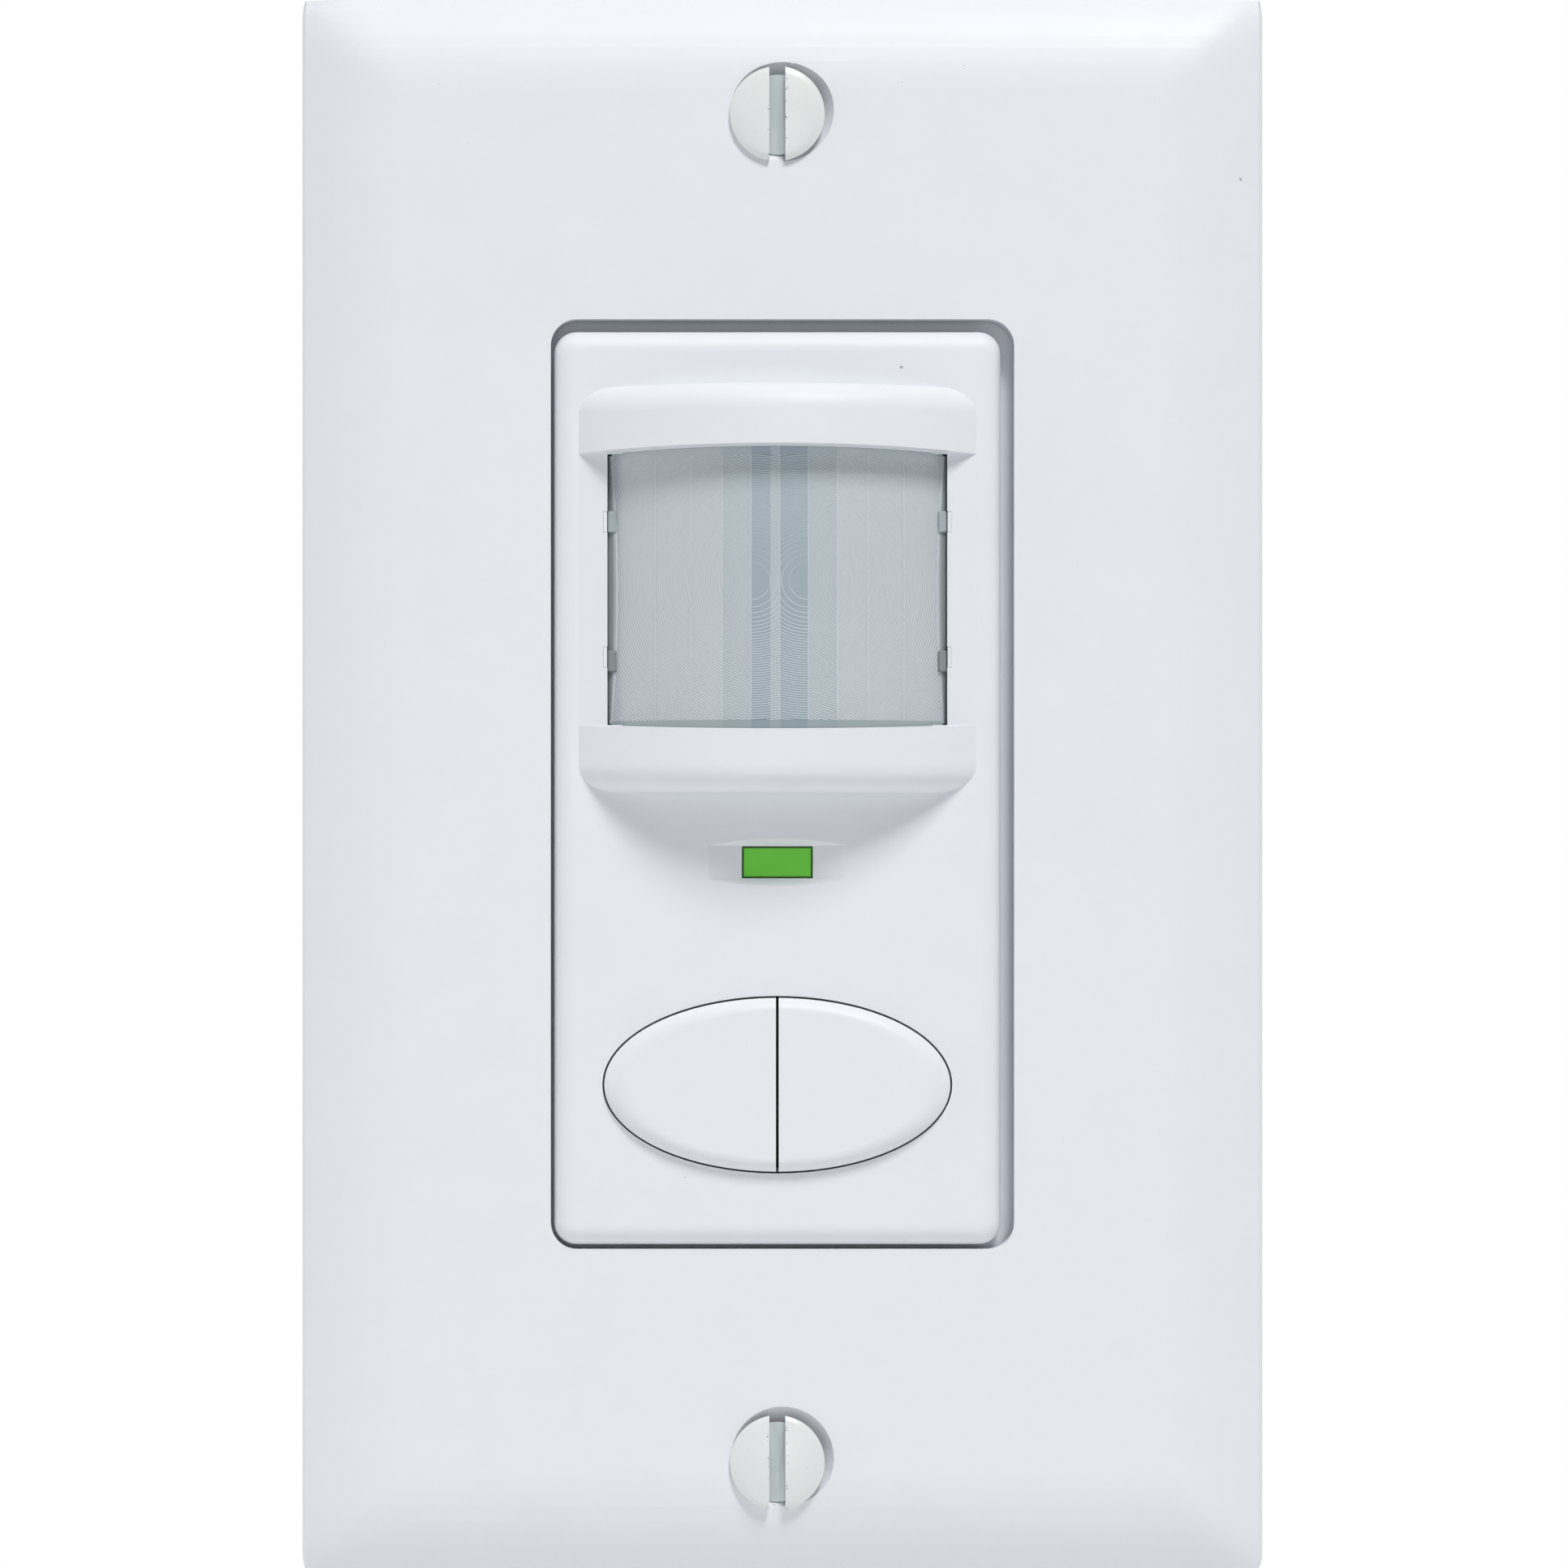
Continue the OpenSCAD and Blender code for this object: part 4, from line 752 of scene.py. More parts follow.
@dataclass
class CoverPlate:
    """The cover plate, whose rolled edges run into each other at the corners."""

    shift: Pair = (0.37, 0.30)
    size: Pair = (69.85, 114.3)
    depth: float = 6.0
    edge_draft: float = 0.5
    rolls: Pair = (7.5, 7.2)
    drop: float = 2.4
    blend: float = 2.6
    cuts: int = 10
    reach: float = 0.3
    facing: float = 0.7
    crease: float = 30.0
    edge: float = 0.1
    edge_angle: float = 60.0

    def flat(self, axis: int) -> float:
        """Returns half the width of the flat front, across for axis 0 and up for axis 1."""
        return self.size[axis] / 2 - self.edge_draft - self.rolls[axis]

    def fall(self, place: float, axis: int) -> float:
        """Finds how far the rolled edge has fallen.

        Args:
            place: the place along the axis.
            axis: 0 for across and 1 for up.

        Returns:
            The fall behind the flat front.
        """
        roll = self.rolls[axis]
        run = min(max(abs(place - self.shift[axis]) - self.flat(axis), 0.0), roll)
        radius = (roll ** 2 + self.drop ** 2) / (2 * self.drop)
        return radius - math.sqrt(radius ** 2 - run ** 2)

    def settled(self, point: Vector, rolled: bool) -> float:
        """Finds the depth that a point takes once the rolled edges are blended.

        Args:
            point: a point of the plate, in millimetres.
            rolled: whether the point is a corner of a face that looks to the room.

        Returns:
            Its new y: on the blended front for a rolled face, and never in front of it.
        """
        falls = self.fall(point.x, 0), self.fall(point.z, 1)
        front = sum(fall ** self.blend for fall in falls) ** (1 / self.blend) - self.depth
        if rolled and max(falls) > 0.0 and abs(point.y + self.depth - max(falls)) < self.reach:
            return front
        return max(point.y, front)

    def cut(self, shell: bmesh.types.BMesh) -> None:
        """Cuts the plate along its rolled edges, so that they can bend both ways."""
        for axis, normal in ((0, (1.0, 0.0, 0.0)), (1, (0.0, 0.0, 1.0))):
            for side in SIDES:
                for cut in range(self.cuts):
                    place = self.shift[axis] + side * (self.flat(axis) + self.rolls[axis] * cut / self.cuts)
                    bmesh.ops.bisect_plane(
                        shell, geom=[*shell.verts, *shell.edges, *shell.faces], dist=WELD * MM,
                        plane_co=[place * MM * part for part in normal], plane_no=normal)

    def build(self, finishes: Finishes) -> None:
        """Builds the plate from the CAD node's mesh, with finer corners."""
        shell = bmesh.new()
        shell.from_mesh(frame["nodes"]["wall_plate"].data)
        bmesh.ops.remove_doubles(shell, verts=shell.verts, dist=WELD * MM)
        self.cut(shell)
        shell.normal_update()
        front = {vert for face in shell.faces if face.normal.y < -self.facing for vert in face.verts}
        for vert in shell.verts:
            vert.co.y = self.settled(vert.co / MM, vert in front) * MM
        shell.normal_update()
        for face in shell.faces:
            face.smooth = True
        for edge in shell.edges:
            edge.smooth = edge.calc_face_angle(0.0) < math.radians(self.crease)
        mesh = bpy.data.meshes.new("cover_plate")
        shell.to_mesh(mesh)
        shell.free()
        mesh.materials.append(finishes["plate_white"])
        plate = settle("cover_plate", mesh, "wall_plate")
        soften(plate, self.edge, self.edge_angle, hardened=False)
        plate.modifiers.new("flat_faces", "WEIGHTED_NORMAL").keep_sharp = True


class LensTone(IntEnum):
    """The material numbers of the lens."""

    FILM = 0
    RIDGE = 1
    # painted shade at the lens's lower border
    EDGE_SHADE = 2
    # painted shade in the slits beside the lens
    SLIT_SHADE = 3
    COVER = 4
    SEAM = 5


@dataclass(frozen=True)
class Lug:
    """A chamfered block at each side of the lens: how far out, how deep and at which levels it is."""

    across: Pair
    deep: Pair
    half: float
    edge: float
    levels: tuple[float, ...]
    tones: tuple[LensTone, ...] = (LensTone.FILM, LensTone.FILM)


LUGS = {
    "leg": Lug((10.38, 11.28), (-6.9, -2.6), 5.85, 0.15, (0.0,)),
    "tab": Lug((11.08, 13.58), (-4.7, -3.6), 0.5, 0.12, (-4.85, 4.85)),
    "nose": Lug((11.18, 12.38), (-5.9, -3.6), 0.65, 0.1, (-4.85, 4.85)),
    "plug": Lug((12.2, 12.47), (-7.2, -5.9), 0.74, 0.03, (-4.85, 4.85), (LensTone.COVER, LensTone.COVER)),
    # the catches carry painted shade: the lower one that of the slits, the upper one that of the lower
    # border
    "catch": Lug((11.53, 12.16), (-7.0, -5.9), 0.78, 0.1, (-5.13, 4.86), (LensTone.SLIT_SHADE, LensTone.EDGE_SHADE)),
}


@dataclass
class SensorLens:
    """The curved lens with its ring grooves, side skirts, legs and snap tabs."""

    radius: float = 18.605
    axis_y: float = 7.805
    middle_z: float = 14.22
    height: float = 22.4
    half: float = 11.88
    bow: float = 0.5
    bow_half: float = 9.71
    thickness: float = 1.0
    grooved: float = 9.43
    middle_x: float = 0.17
    ring_z: float = 0.45
    seams: tuple[float, ...] = (2.0, 4.06, 6.29, 8.85)
    seam: float = 0.08
    first_ring: float = 1.29
    ring_reach: float = 1.4
    least_pitch: float = 0.17
    groove: float = 0.02
    ridge: float = 0.07
    steps: int = 10
    rise: int = 20
    span: int = 60
    bands: int = 3
    skirt_x: float = 12.17
    skirt_back: float = 11.28
    skirt_half: float = 9.6
    skirt_depth: float = 0.42
    skirt_rise: int = 30
    skirt_turn: int = 7
    crease: float = 9.0

    def edge(self, z: float) -> float:
        """Returns the lens's half width at a height above its middle."""
        arc = (self.bow_half ** 2 + self.bow ** 2) / (2 * self.bow)
        return min(self.half, self.half - self.bow + arc - math.sqrt(arc * arc - z * z))

    def front(self, x: float, z: float, sink: float = 0.0) -> Point:
        """Finds a point of the lens.

        Args:
            x: its place across the front.
            z: its height above the middle.
            sink: how far it is sunk into the film.

        Returns:
            The point.
        """
        reach = self.radius - sink
        angle = math.asin(x / self.radius)
        return reach * math.sin(angle), self.axis_y - reach * math.cos(angle), self.middle_z + z

    def spread(self, x: float, z: float) -> float:
        """Moves a place outward in the last facet, so that the facet ends on the bowed edge.

        Args:
            x: the place across the lens.
            z: its height above the middle.

        Returns:
            The place that it moves to.
        """
        last, middle = abs(self.middle_x + math.copysign(self.seams[-1], x)), self.half - self.bow
        if abs(x) <= last:
            return x
        return math.copysign(last + (abs(x) - last) * (self.edge(z) - last) / (middle - last), x)

    def rings(self) -> list[float]:
        """Returns the radii of the ring grooves."""
        radii = [self.first_ring]
        while radii[-1] < self.ring_reach * self.half:
            even = self.first_ring * math.sqrt(len(radii) + 1)
            radii.append(max(even, radii[-1] + self.least_pitch))
        return radii

    def depth(self, radius: float) -> float:
        """Returns how deep the film is cut at a distance from the middle of the rings."""
        start = 0.0
        for groove in self.rings():
            if radius <= groove:
                return self.groove * (radius - start) / (groove - start)
            if radius <= groove + self.ridge:
                return self.groove * (1 - (radius - groove) / self.ridge)
            start = groove + self.ridge
        return 0.0

    def facet(self, draft: Draft, centre: float, way: int, near: float, far: float) -> None:
        """Adds one facet of the front with its part of the rings.

        Args:
            draft: the lens's draft.
            centre: the middle of the facet's rings, across the lens.
            way: 1 for a facet to the right of that middle and -1 for one to its left.
            near: the facet's nearer border, from the middle of the rings.
            far: the facet's farther border, from there.
        """
        ridges = [(groove, groove + self.ridge) for groove in self.rings()]
        for up in SIDES:
            top = self.grooved - up * self.ring_z
            last = math.hypot(far, top)
            radii = sorted({near, far, math.hypot(near, top), last,
                            *(r for pair in ridges for r in pair if near < r < last)})
            middles = [(low + high) / 2 for low, high in zip(radii, radii[1:])]
            tones = [LensTone.RIDGE if any(a <= middle <= b for a, b in ridges) else LensTone.FILM
                     for middle in middles]
            rows = []
            for radius in radii:
                first = math.acos(far / radius) if radius > far else 0.0
                end = math.acos(near / radius) if radius > near else 0.0
                if radius > top:
                    end = min(end, math.asin(top / radius))
                line = []
                for angle in spaced(first, max(first, end), self.steps):
                    x = centre + way * radius * math.cos(angle)
                    z = self.ring_z + up * radius * math.sin(angle)
                    line.append(self.front(self.spread(x, z), z, self.depth(radius)))
                rows.append(draft.row(line))
            draft.skin(rows, tones=tones)

    def strip(self, draft: Draft, low: float, high: float) -> None:
        """Adds the smooth upright strip of a seam.

        Args:
            draft: the lens's draft.
            low: the strip's left border.
            high: its right border.
        """
        heights = spaced(-self.grooved, self.grooved, self.rise)
        rows = [draft.row([self.front(x, z) for z in heights]) for x in spaced(low, high, self.bands)]
        draft.skin(rows, tones=(LensTone.SEAM,) * self.bands)

    def sheet(self, draft: Draft) -> None:
        """Adds the plain borders above and below the grooves, the lower one with painted shade, and the back
        and the rim of the film.
        """
        top = self.height / 2
        shares = spaced(-1, 1, self.span)
        # painted shade on the lower border, plain film on the upper one
        for up, tone in zip(SIDES, (LensTone.EDGE_SHADE, LensTone.FILM)):
            levels = [up * level for level in spaced(self.grooved, top, self.bands)]
            rows = [draft.row([self.front(s * self.edge(z), z) for s in shares]) for z in levels]
            rim = [self.front(s * self.edge(top), up * top, self.thickness) for s in shares]
            rows.append(draft.row(rim))
            draft.skin(rows, tones=(tone,) * len(levels))
        heights = spaced(-top, top, self.rise)
        draft.skin([draft.row([self.front(s * self.edge(z), z, self.thickness) for z in heights])
                    for s in shares])

    def skirt(self, draft: Draft, side: int) -> None:
        """Adds the round shoulder from the bowed edge back to the cheek.

        Args:
            draft: the lens's draft.
            side: 1 for the right side and -1 for the left.
        """
        rows = []
        for turn in spaced(0.0, math.pi / 2, self.skirt_turn):
            line = []
            for z in spaced(-self.skirt_half, self.skirt_half, self.skirt_rise):
                x, y, level = self.front(self.edge(z), z)
                line.append((side * mix(x, self.skirt_x, math.sin(turn)),
                             y + self.skirt_depth * (1 - math.cos(turn)), level))
            rows.append(draft.row(line))
        behind = [(side * self.skirt_back, y, z) for _, y, z in line]
        rows.append(draft.row(behind))
        # painted shade: the lower border's on the skirt's second strip, the slits' on the rest
        draft.skin(rows, tones=(LensTone.FILM, LensTone.EDGE_SHADE, *(LensTone.SLIT_SHADE,) * (self.skirt_turn - 1)))

    def lugs(self, draft: Draft, side: int) -> None:
        """Adds the leg, tabs and catches of one side.

        Args:
            draft: the lens's draft.
            side: 1 for the right side and -1 for the left.
        """
        for lug in LUGS.values():
            near, far = sorted(side * x for x in lug.across)
            for level, tone in zip(lug.levels, lug.tones):
                middle = self.middle_z + level
                draft.slab((near, lug.deep[0], middle - lug.half), (far, lug.deep[1], middle + lug.half),
                           lug.edge, tone)

    def build(self, finishes: Finishes) -> None:
        """Builds the lens and dresses it."""
        draft = Draft()
        for side in SIDES:
            cuts = [self.middle_x + side * seam for seam in self.seams]
            self.facet(draft, cuts[0], -side, 0.0, self.seams[0] - self.seam / 2)
            for number, (start, end) in enumerate(zip(cuts, (*cuts[1:], side * (self.half - self.bow)))):
                centre, way = (self.middle_x, side) if number else (cuts[2], -side)
                borders = abs(start + side * self.seam - centre), abs(end - centre)
                self.facet(draft, centre, way, min(borders), max(borders))
                self.strip(draft, *sorted((start, start + side * self.seam)))
            self.skirt(draft, side)
        self.strip(draft, self.middle_x - self.seam / 2, self.middle_x + self.seam / 2)
        self.sheet(draft)
        for side in SIDES:
            self.lugs(draft, side)
        tones = (finishes["lens_film"], LENS_RIDGES.material("lens_ridges"),
                 LENS_EDGE_SHADE.material("lens_edge_shade"), LENS_SLIT_SHADE.material("lens_slit_shade"),
                 finishes["face_white"], LENS_SEAMS.material("lens_seams"))
        draft.build("sensor_lens", tones, "lens_film", "fresnel_lens", self.crease)


class Drive(Enum):
    """The driver recess of a screw."""

    SLOT = "slot"
    CROSS = "cross"


def toward(direction: Point, origin: Point, spin: float = 0.0) -> Matrix:
    """Places a screw.

    Args:
        direction: the way that its head faces.
        origin: the middle of its head's underside.
        spin: its turn about its axis, in degrees.

    Returns:
        The screw's frame, with z pointing out of its head.
    """
    turn = Vector(direction).to_track_quat("Z", "Y").to_matrix().to_4x4()
    return Matrix.Translation(origin) @ turn @ Matrix.Rotation(math.radians(spin), 4, "Z")


@dataclass
class ScrewKind:
    """One kind of screw, with its head and its threaded length below the head."""

    name: str
    slot: str
    node: str
    places: list[Matrix]
    head_r: float
    head_t: float
    length: float
    thread_r: float = 1.75
    pitch: float = 0.79
    plain: float = 0.3
    plain_r: float = 1.75
    plain_steps: int = 24
    plain_joint: float = 0.05
    drive: Drive = Drive.SLOT
    six_sided: bool = False
    dome: float = 0.0
    cone: float = 0.0
    rim_start: float = 0.9
    rim_run: float = 0.1
    rim_drop: float = 0.03
    head_steps: int = 48
    slot_w: float = 1.15
    slot_depth: float = 0.8
    land_steps: int = 32
    land_rows: int = 8
    cross: Point = (0.8, 3.2, 1.0)
    cross_foot: float = 0.45
    pan: tuple[Pair, ...] = ((0.86, 0.02), (0.97, 0.2), (1.0, 0.5))
    thread_steps: int = 20
    thread_depth: float = 0.55
    thread_form: tuple[Pair, ...] = ((0.0, 0.0), (0.4, 1.0), (0.55, 1.0), (0.95, 0.0))
    core: float = 0.99
    tip: Pair = (0.35, 0.5)

    def outline(self, angle: float) -> float:
        """Returns the head's radius at an angle."""
        if not self.six_sided:
            return self.head_r
        part = math.fmod(angle + TURN, math.pi / 3) - math.pi / 6
        return self.head_r * math.cos(math.pi / 6) / math.cos(part)

    def slotted_head(self, draft: Draft, place: Matrix) -> None:
        """Adds a head with a driver slot along the x axis of place.

        Args:
            draft: the screws' draft.
            place: the screw's frame.
        """
        half = self.slot_w / 2
        floor = self.head_t - self.slot_depth
        angles = around(self.head_steps)
        rims = [self.outline(angle) for angle in angles]
        wide = max(rims)
        foot = 1.0 if floor >= 0 else mix(1.0, self.plain_r / wide, -floor / self.cone)

        def height(x: float, y: float) -> float:
            """Returns the head's height, with its outer edge rounded."""
            share = math.hypot(x, y) / wide
            rounded = self.rim_drop * wide * smooth((share - self.rim_start) / self.rim_run)
            return self.head_t + self.dome * (1 - share * share) - rounded

        def land(scale: float, side: int) -> list[Point]:
            """Returns the outline beside the slot, from one end of the slot to the other."""
            start = math.asin(half / wide / scale)
            turns = spaced(start, math.pi - start, self.land_steps)
            outline = ring(turns, [scale * self.outline(turn) for turn in turns], floor)
            return [(x, side * y, z) for x, y, z in outline]

        for side in (1, -1):
            edge, base = land(1.0, side), land(foot, side)
            rows = []
            for k in range(self.land_rows + 1):
                spots = [(x, side * mix(half, abs(y), smooth(k / self.land_rows))) for x, y, _ in edge]
                rows.append(draft.row([(x, y, height(x, y)) for x, y in spots], place))
            draft.skin(rows)
            seat = draft.row([(x, y, max(floor, 0.0)) for x, y, _ in edge], place)
            draft.skin([rows[-1], seat, draft.row(base, place)])
            lip = draft.row([(x, side * half, height(x, half)) for x, _, _ in edge], place)
            deep = draft.row([(x, side * half, floor) for x, _, _ in base], place)
            draft.skin([deep, lip], tones=(1,))
        top = draft.row(ring(angles, [foot * rim for rim in rims], floor), place)
        under = [self.plain_r] * self.head_steps if self.cone else rims
        end = draft.row(ring(angles, under, -self.cone), place)
        draft.skin([top, end], closed=True)
        draft.cap(top, tone=1)
        draft.cap(end, flipped=True)

    def cross_head(self, draft: Draft, place: Matrix) -> None:
        """Adds a pan head with a cross recess.

        Args:
            draft: the screws' draft.
            place: the screw's frame.
        """
        width, length, depth = self.cross
        corner = math.atan2(width, length)
        turns = (-corner, 0.0, corner, math.pi / 4)
        angles = [quarter * math.pi / 2 + turn for quarter in range(4) for turn in turns]

        def reach(angle: float) -> float:
            """Returns how far the recess goes at an angle."""
            x, y = (max(abs(part), 1e-9) for part in (math.cos(angle), math.sin(angle)))
            return max(min(length / 2 / x, width / 2 / y), min(width / 2 / x, length / 2 / y))

        recess = [reach(angle) for angle in angles]
        outer = [self.head_r] * len(angles)
        profile = [(recess, self.cross_foot, self.head_t - depth), (recess, 1.0, self.head_t),
                   *((outer, share, self.head_t - drop) for share, drop in self.pan), (outer, 1.0, 0.0)]
        rows = [draft.row(ring(angles, [radius * share for radius in radii], level), place)
                for radii, share, level in profile]
        draft.skin(rows, closed=True)
        draft.cap(rows[0])
        draft.cap(rows[-1], flipped=True)

    def thread(self, draft: Draft, place: Matrix) -> None:
        """Adds the thread, from the plain neck to the tip.

        Args:
            draft: the screws' draft.
            place: the screw's frame.
        """
        top, end, steps = -self.plain, -self.length, self.thread_steps
        depth = self.thread_depth * self.pitch
        root = self.thread_r - depth
        total = int(((top - end) / self.pitch - 1.0) * steps)
        rows = []
        for i in range(total + 1):
            angle = TURN * i / steps
            fade = smooth(i / steps) * smooth((total - i) / steps)
            line = []
            for lift, share in self.thread_form:
                reach = root + depth * share * fade
                line.append((reach * math.cos(angle), reach * math.sin(angle),
                             top - self.pitch * (i / steps + lift)))
            rows.append(draft.row(line, place))
        draft.skin(rows)
        for i in range(total - steps):
            draft.face((rows[i][-1], rows[i + 1][-1], rows[i + 1 + steps][0], rows[i + steps][0]))
        core = self.core * root
        draft.lathe([(self.tip[0] * root, end), (core, end + self.tip[1] * root), (core, top)], place, steps)

    def build(self, finishes: Finishes) -> None:
        """Builds every screw of this kind as one piece."""
        draft = Draft()
        for place in self.places:
            if self.drive is Drive.SLOT:
                self.slotted_head(draft, place)
            else:
                self.cross_head(draft, place)
            top = min(self.plain_joint, self.head_t - self.slot_depth - self.plain_joint)
            draft.lathe([(self.plain_r, -self.plain), (self.plain_r, top)], place, self.plain_steps)
            self.thread(draft, place)
        bare = WORN_SLOT.material(self.name + "_slot")
        draft.build(self.name, (finishes[self.slot], bare), self.slot, self.node)


@dataclass
class Fasteners:
    """Every screw of the switch."""

    upright: float = 90.0
    plate_pitch: float = 96.84
    plate_seat: float = -6.237
    box_pitch: float = 83.34
    box_seat: float = -1.2
    box_spin: float = 20.0
    column: Point = (15.2, 10.0, 30.6)
    column_spins: Point = (20.0, 25.0, 40.0)
    terminal: Point = (18.1, 16.9, 14.0)
    ground: Point = (-10.5, 5.0, -38.2)

    def kinds(self) -> list[ScrewKind]:
        """Returns the kinds of screw with their places."""
        plate, box, back, sides = [], [], [], []
        for end in SIDES:
            seat = (0.0, self.plate_seat, end * self.plate_pitch / 2)
            plate.append(toward((0.0, -1.0, 0.0), seat, self.upright))
            seat = (0.0, self.box_seat, end * self.box_pitch / 2)
            box.append(toward((0.0, -1.0, 0.0), seat, self.upright + self.box_spin * end))
        for side, end in ((side, end) for side in SIDES for end in SIDES):
            spin, across, along = self.column_spins
            seat = (side * self.column[0], self.column[1], end * self.column[2])
            back.append(toward((0.0, 1.0, 0.0), seat, spin + across * side + along * end))
            seat = (side * self.terminal[0], self.terminal[1], end * self.terminal[2])
            sides.append(toward((float(side), 0.0, 0.0), seat))
        ground = [toward((0.0, 0.0, -1.0), self.ground)]
        return [
            ScrewKind("plate_screw_pair", "painted_screw", "plate_screws", plate,
                      head_r=3.4, head_t=0.2, length=11.0, dome=0.4, cone=1.898, plain=3.0),
            ScrewKind("box_screw_pair", "screw_steel", "mounting_screws", box,
                      head_r=3.1, head_t=1.8, length=25.0, dome=0.2, plain=1.3, plain_r=1.4),
            ScrewKind("body_screw_set", "screw_steel", "housing_screws", back, drive=Drive.CROSS,
                      head_r=2.7, head_t=2.0, length=13.0, thread_r=1.45, pitch=1.1, plain_r=1.1),
            ScrewKind("terminal_screw_set", "screw_steel", "terminal_screws", sides,
                      head_r=3.3, head_t=1.6, length=3.4, dome=0.2, plain=1.0, plain_r=1.4),
            ScrewKind("ground_terminal_screw", "ground_green", "ground_screw", ground, six_sided=True,
                      head_r=3.2, head_t=2.0, length=2.2, plain=0.1, plain_r=1.4),
        ]

    def build(self, finishes: Finishes) -> None:
        """Builds every kind of screw."""
        for kind in self.kinds():
            kind.build(finishes)


@dataclass
class Choke:
    """The suppression choke's winding of round wire."""

    turns: int = 12
    wire: float = 0.7
    wire_sides: int = 8
    bore: float = 3.0
    gap: float = 0.15
    corner: float = 0.6
    corner_steps: int = 4

    def build(self, finishes: Finishes) -> None:
        """Winds the wire round the core."""
        low, high = (Vector(corner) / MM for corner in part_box("choke_core"))
        middle = (low + high) / 2
        inner = self.bore - self.gap - self.wire / 2
        outer = (high.x - low.x) / 2 + self.gap + self.wire / 2
        front, back = low.y - self.gap - self.wire / 2, high.y + self.gap + self.wire / 2
        corners = ((inner, front, -math.pi), (outer, front, -math.pi / 2), (outer, back, 0.0),
                   (inner, back, math.pi / 2))
        draft = Draft()
        for turn in range(self.turns):
            angle = TURN * (turn + 0.5) / self.turns
            path = []
            for radius, depth, start in corners:
                in_r = radius + (self.corner if radius == inner else -self.corner)
                in_y = depth + (self.corner if depth == front else -self.corner)
                for k in range(self.corner_steps + 1):
                    bend = start + math.pi / 2 * k / self.corner_steps
                    reach = in_r + self.corner * math.cos(bend)
                    path.append((middle.x + reach * math.cos(angle), in_y + self.corner * math.sin(bend),
                                 middle.z + reach * math.sin(angle)))
            draft.tube(path, self.wire / 2, self.wire_sides)
        draft.build("choke_wire", (finishes["copper_wire"],), "copper_wire", "choke_winding")


@dataclass(frozen=True)
class Softbox:
    """A soft lamp that faces the switch, in metres and watts."""

    name: str
    place: Point
    size: Pair
    power: float
    colour: Colour

    def hang(self) -> None:
        """Hangs the lamp."""
        light = bpy.data.lights.new(self.name, "AREA")
        light.shape = "RECTANGLE"
        light.size, light.size_y = self.size
        light.energy = self.power
        light.color = self.colour
        lamp = bpy.data.objects.new(self.name, light)
        lamp.location = self.place
        lamp.rotation_euler = (-Vector(self.place)).to_track_quat("-Z", "Y").to_euler()
        bpy.context.scene.collection.objects.link(lamp)


SOFTBOXES = (
    Softbox("key_softbox", (0.16, -0.49, 0.68), (0.22, 0.26), 5.2, (1.0, 0.985, 0.955)),
    Softbox("front_softbox", (0.05, -0.8, -0.03), (0.25, 0.25), 0.6, (0.96, 0.985, 1.0)),
    Softbox("low_softbox", (0.05, -0.6, -0.5), (0.25, 0.2), 0.36, (0.97, 0.985, 1.0)),
    Softbox("side_softbox", (-0.5, -0.12, 0.12), (0.2, 0.3), 0.4, (1.0, 1.0, 1.0)),
)


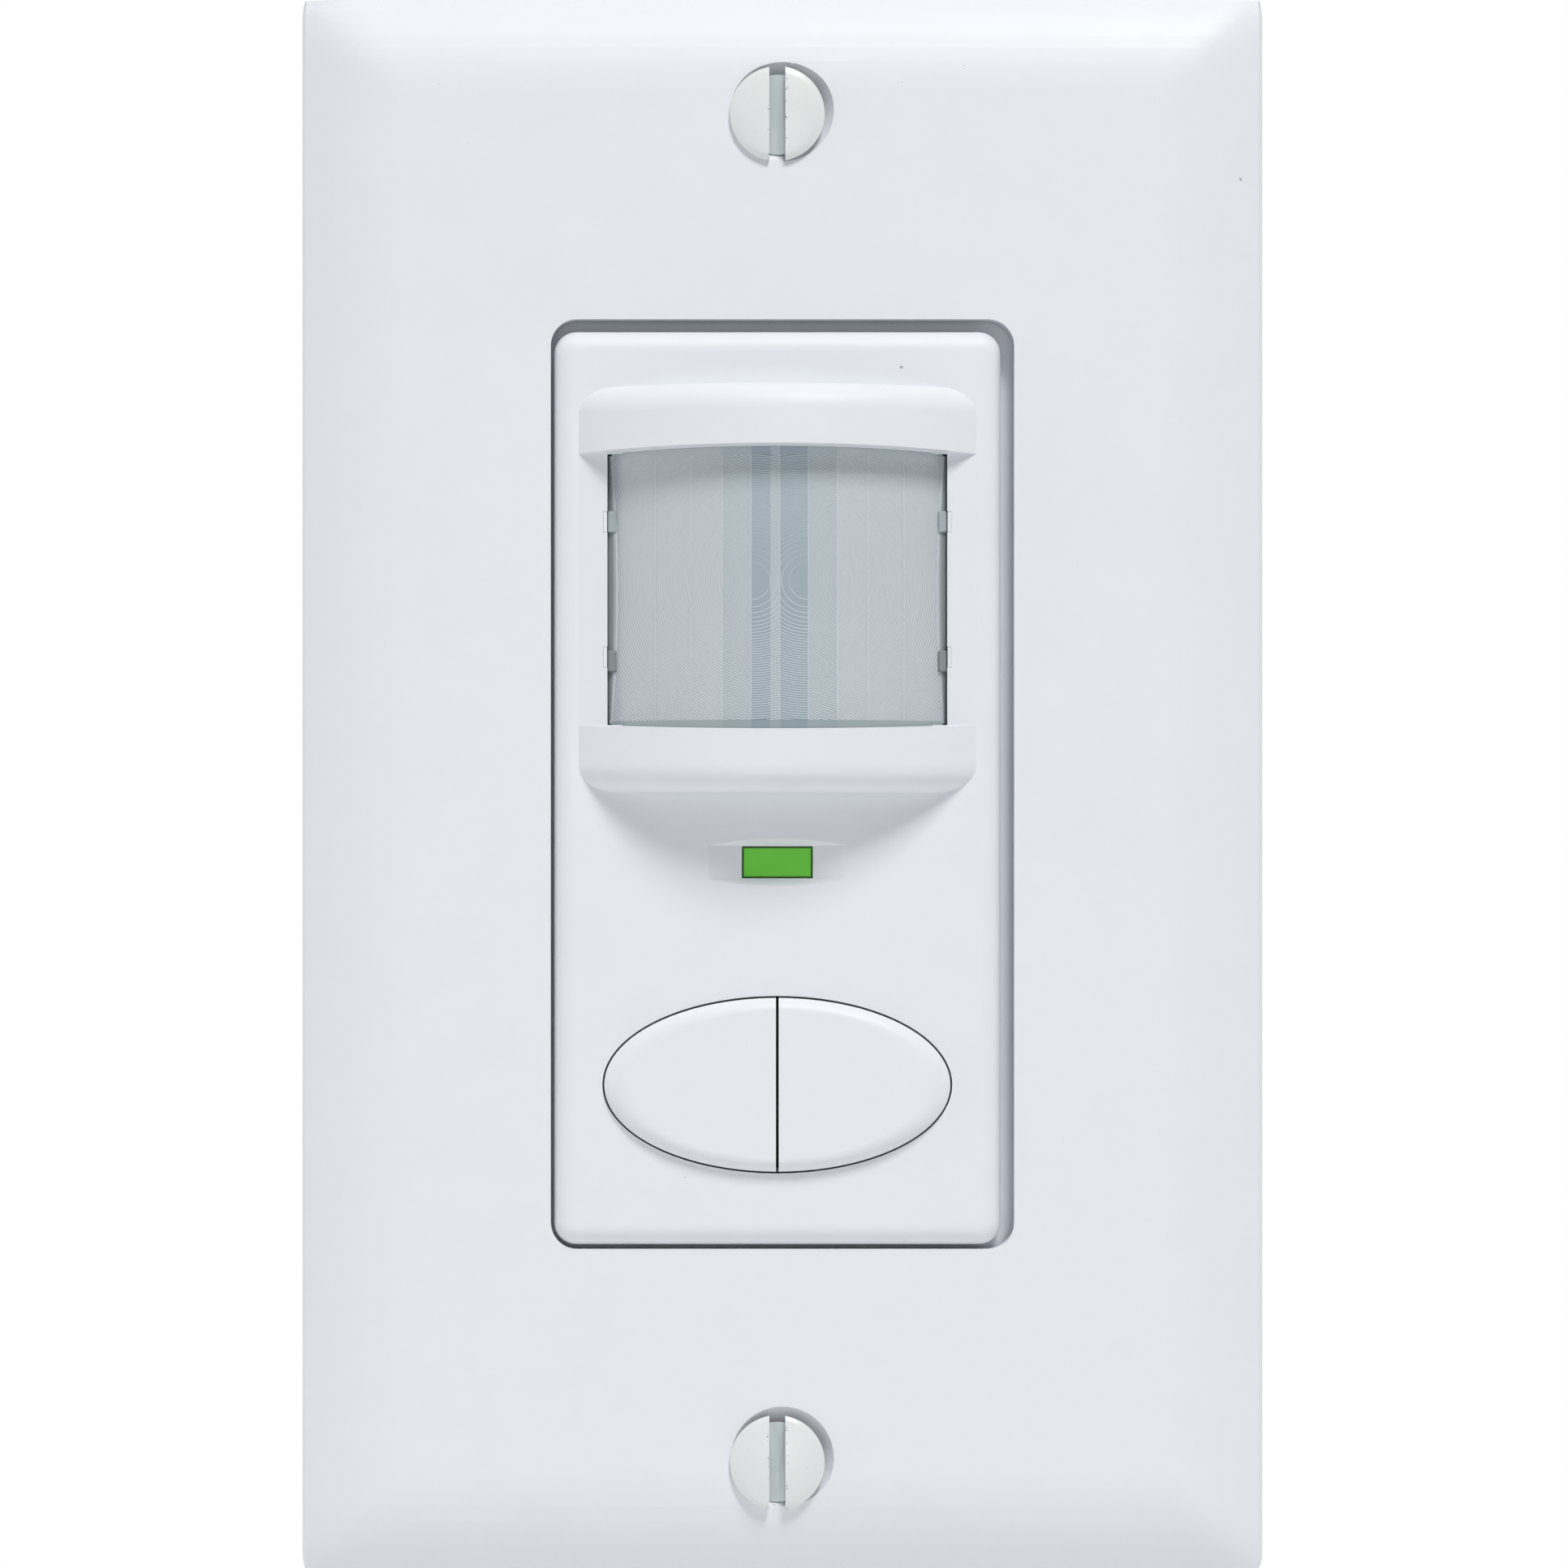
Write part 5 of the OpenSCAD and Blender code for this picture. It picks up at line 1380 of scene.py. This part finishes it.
@dataclass
class Studio:
    """The floor, the lamps, the pale surroundings and the camera."""

    floor_z: float = -0.12
    floor_r: float = 0.45
    floor_steps: int = 64
    distance: float = 0.470
    frame_width: float = 0.1141
    sensor: float = 36.0
    foot: Pair = (-0.0002, -0.0076)
    aim: Pair = (0.00049, 0.0004)
    ambient: Colour = (0.03, 0.035, 0.042)
    sky: Colour = (0.33, 0.33, 0.33)
    backdrop: Colour = (1.0, 1.0, 1.0)
    above: Pair = (0.0, 0.9)
    behind: Pair = (-0.05, 0.25)

    def floor(self) -> None:
        """Lays a plain pale floor."""
        mesh = bpy.data.meshes.new("studio_floor")
        rim = ring(around(self.floor_steps), [self.floor_r] * self.floor_steps, self.floor_z)
        mesh.from_pydata(rim, [], [tuple(range(self.floor_steps))])
        sheet = bpy.data.objects.new("studio_floor", mesh)
        bpy.context.scene.collection.objects.link(sheet)
        mesh.materials.append(PALE_FLOOR.material("pale_floor"))

    def surroundings(self) -> None:
        """Makes the world white to the eye, but for the light dim in front, paler above and white behind."""
        world = bpy.data.worlds.new("pale_room")
        world.use_nodes = True
        world.node_tree.nodes.clear()
        sketch = Sketch(world.node_tree)
        rays = sketch.add("ShaderNodeLightPath").outputs
        seen = sketch.math("MAXIMUM", rays["Is Camera Ray"], rays["Is Glossy Ray"])
        seen = sketch.math("MAXIMUM", seen, rays["Is Transmission Ray"])
        place = sketch.add("ShaderNodeTexCoord").outputs["Generated"]
        way = sketch.add("ShaderNodeSeparateXYZ", Vector=place).outputs
        front = sketch.blend(sketch.ramp(way["Z"], *self.above), self.ambient, self.sky)
        room = sketch.blend(sketch.ramp(way["Y"], *self.behind), front, self.backdrop)
        shown = sketch.blend(seen, room, (1.0, 1.0, 1.0))
        light = sketch.add("ShaderNodeBackground", Strength=1.0, Color=shown)
        sketch.add("ShaderNodeOutputWorld", Surface=light.outputs["Background"])
        bpy.context.scene.world = world

    def camera(self) -> None:
        """Sets the camera square to the wall, a little below the middle of the plate."""
        lens = bpy.data.cameras.new("front_camera")
        lens.sensor_width = self.sensor
        lens.lens = self.sensor * self.distance / self.frame_width
        lens.shift_x = (self.aim[0] - self.foot[0]) / self.frame_width
        lens.shift_y = (self.aim[1] - self.foot[1]) / self.frame_width
        eye = bpy.data.objects.new("front_camera", lens)
        eye.location = (self.foot[0], -self.distance, self.foot[1])
        eye.rotation_euler = (math.pi / 2, 0.0, 0.0)
        bpy.context.scene.collection.objects.link(eye)
        bpy.context.scene.camera = eye

    def build(self) -> None:
        """Sets up the whole studio."""
        bpy.context.scene.view_settings.view_transform = "Standard"
        self.floor()
        self.surroundings()
        for softbox in SOFTBOXES:
            softbox.hang()
        self.camera()


def main() -> None:
    """Builds the dressed switch, piece by piece."""
    logging.basicConfig(level=logging.INFO, format="%(name)s: %(message)s")
    finishes = Finishes()
    finishes.dress_frame()
    for node, width in BROKEN_EDGES.items():
        soften(frame["nodes"][node], width)
    CoverPlate().build(finishes)
    SensorLens().build(finishes)
    Fasteners().build(finishes)
    Choke().build(finishes)
    Studio().build()


if __name__ == "__main__":
    main()
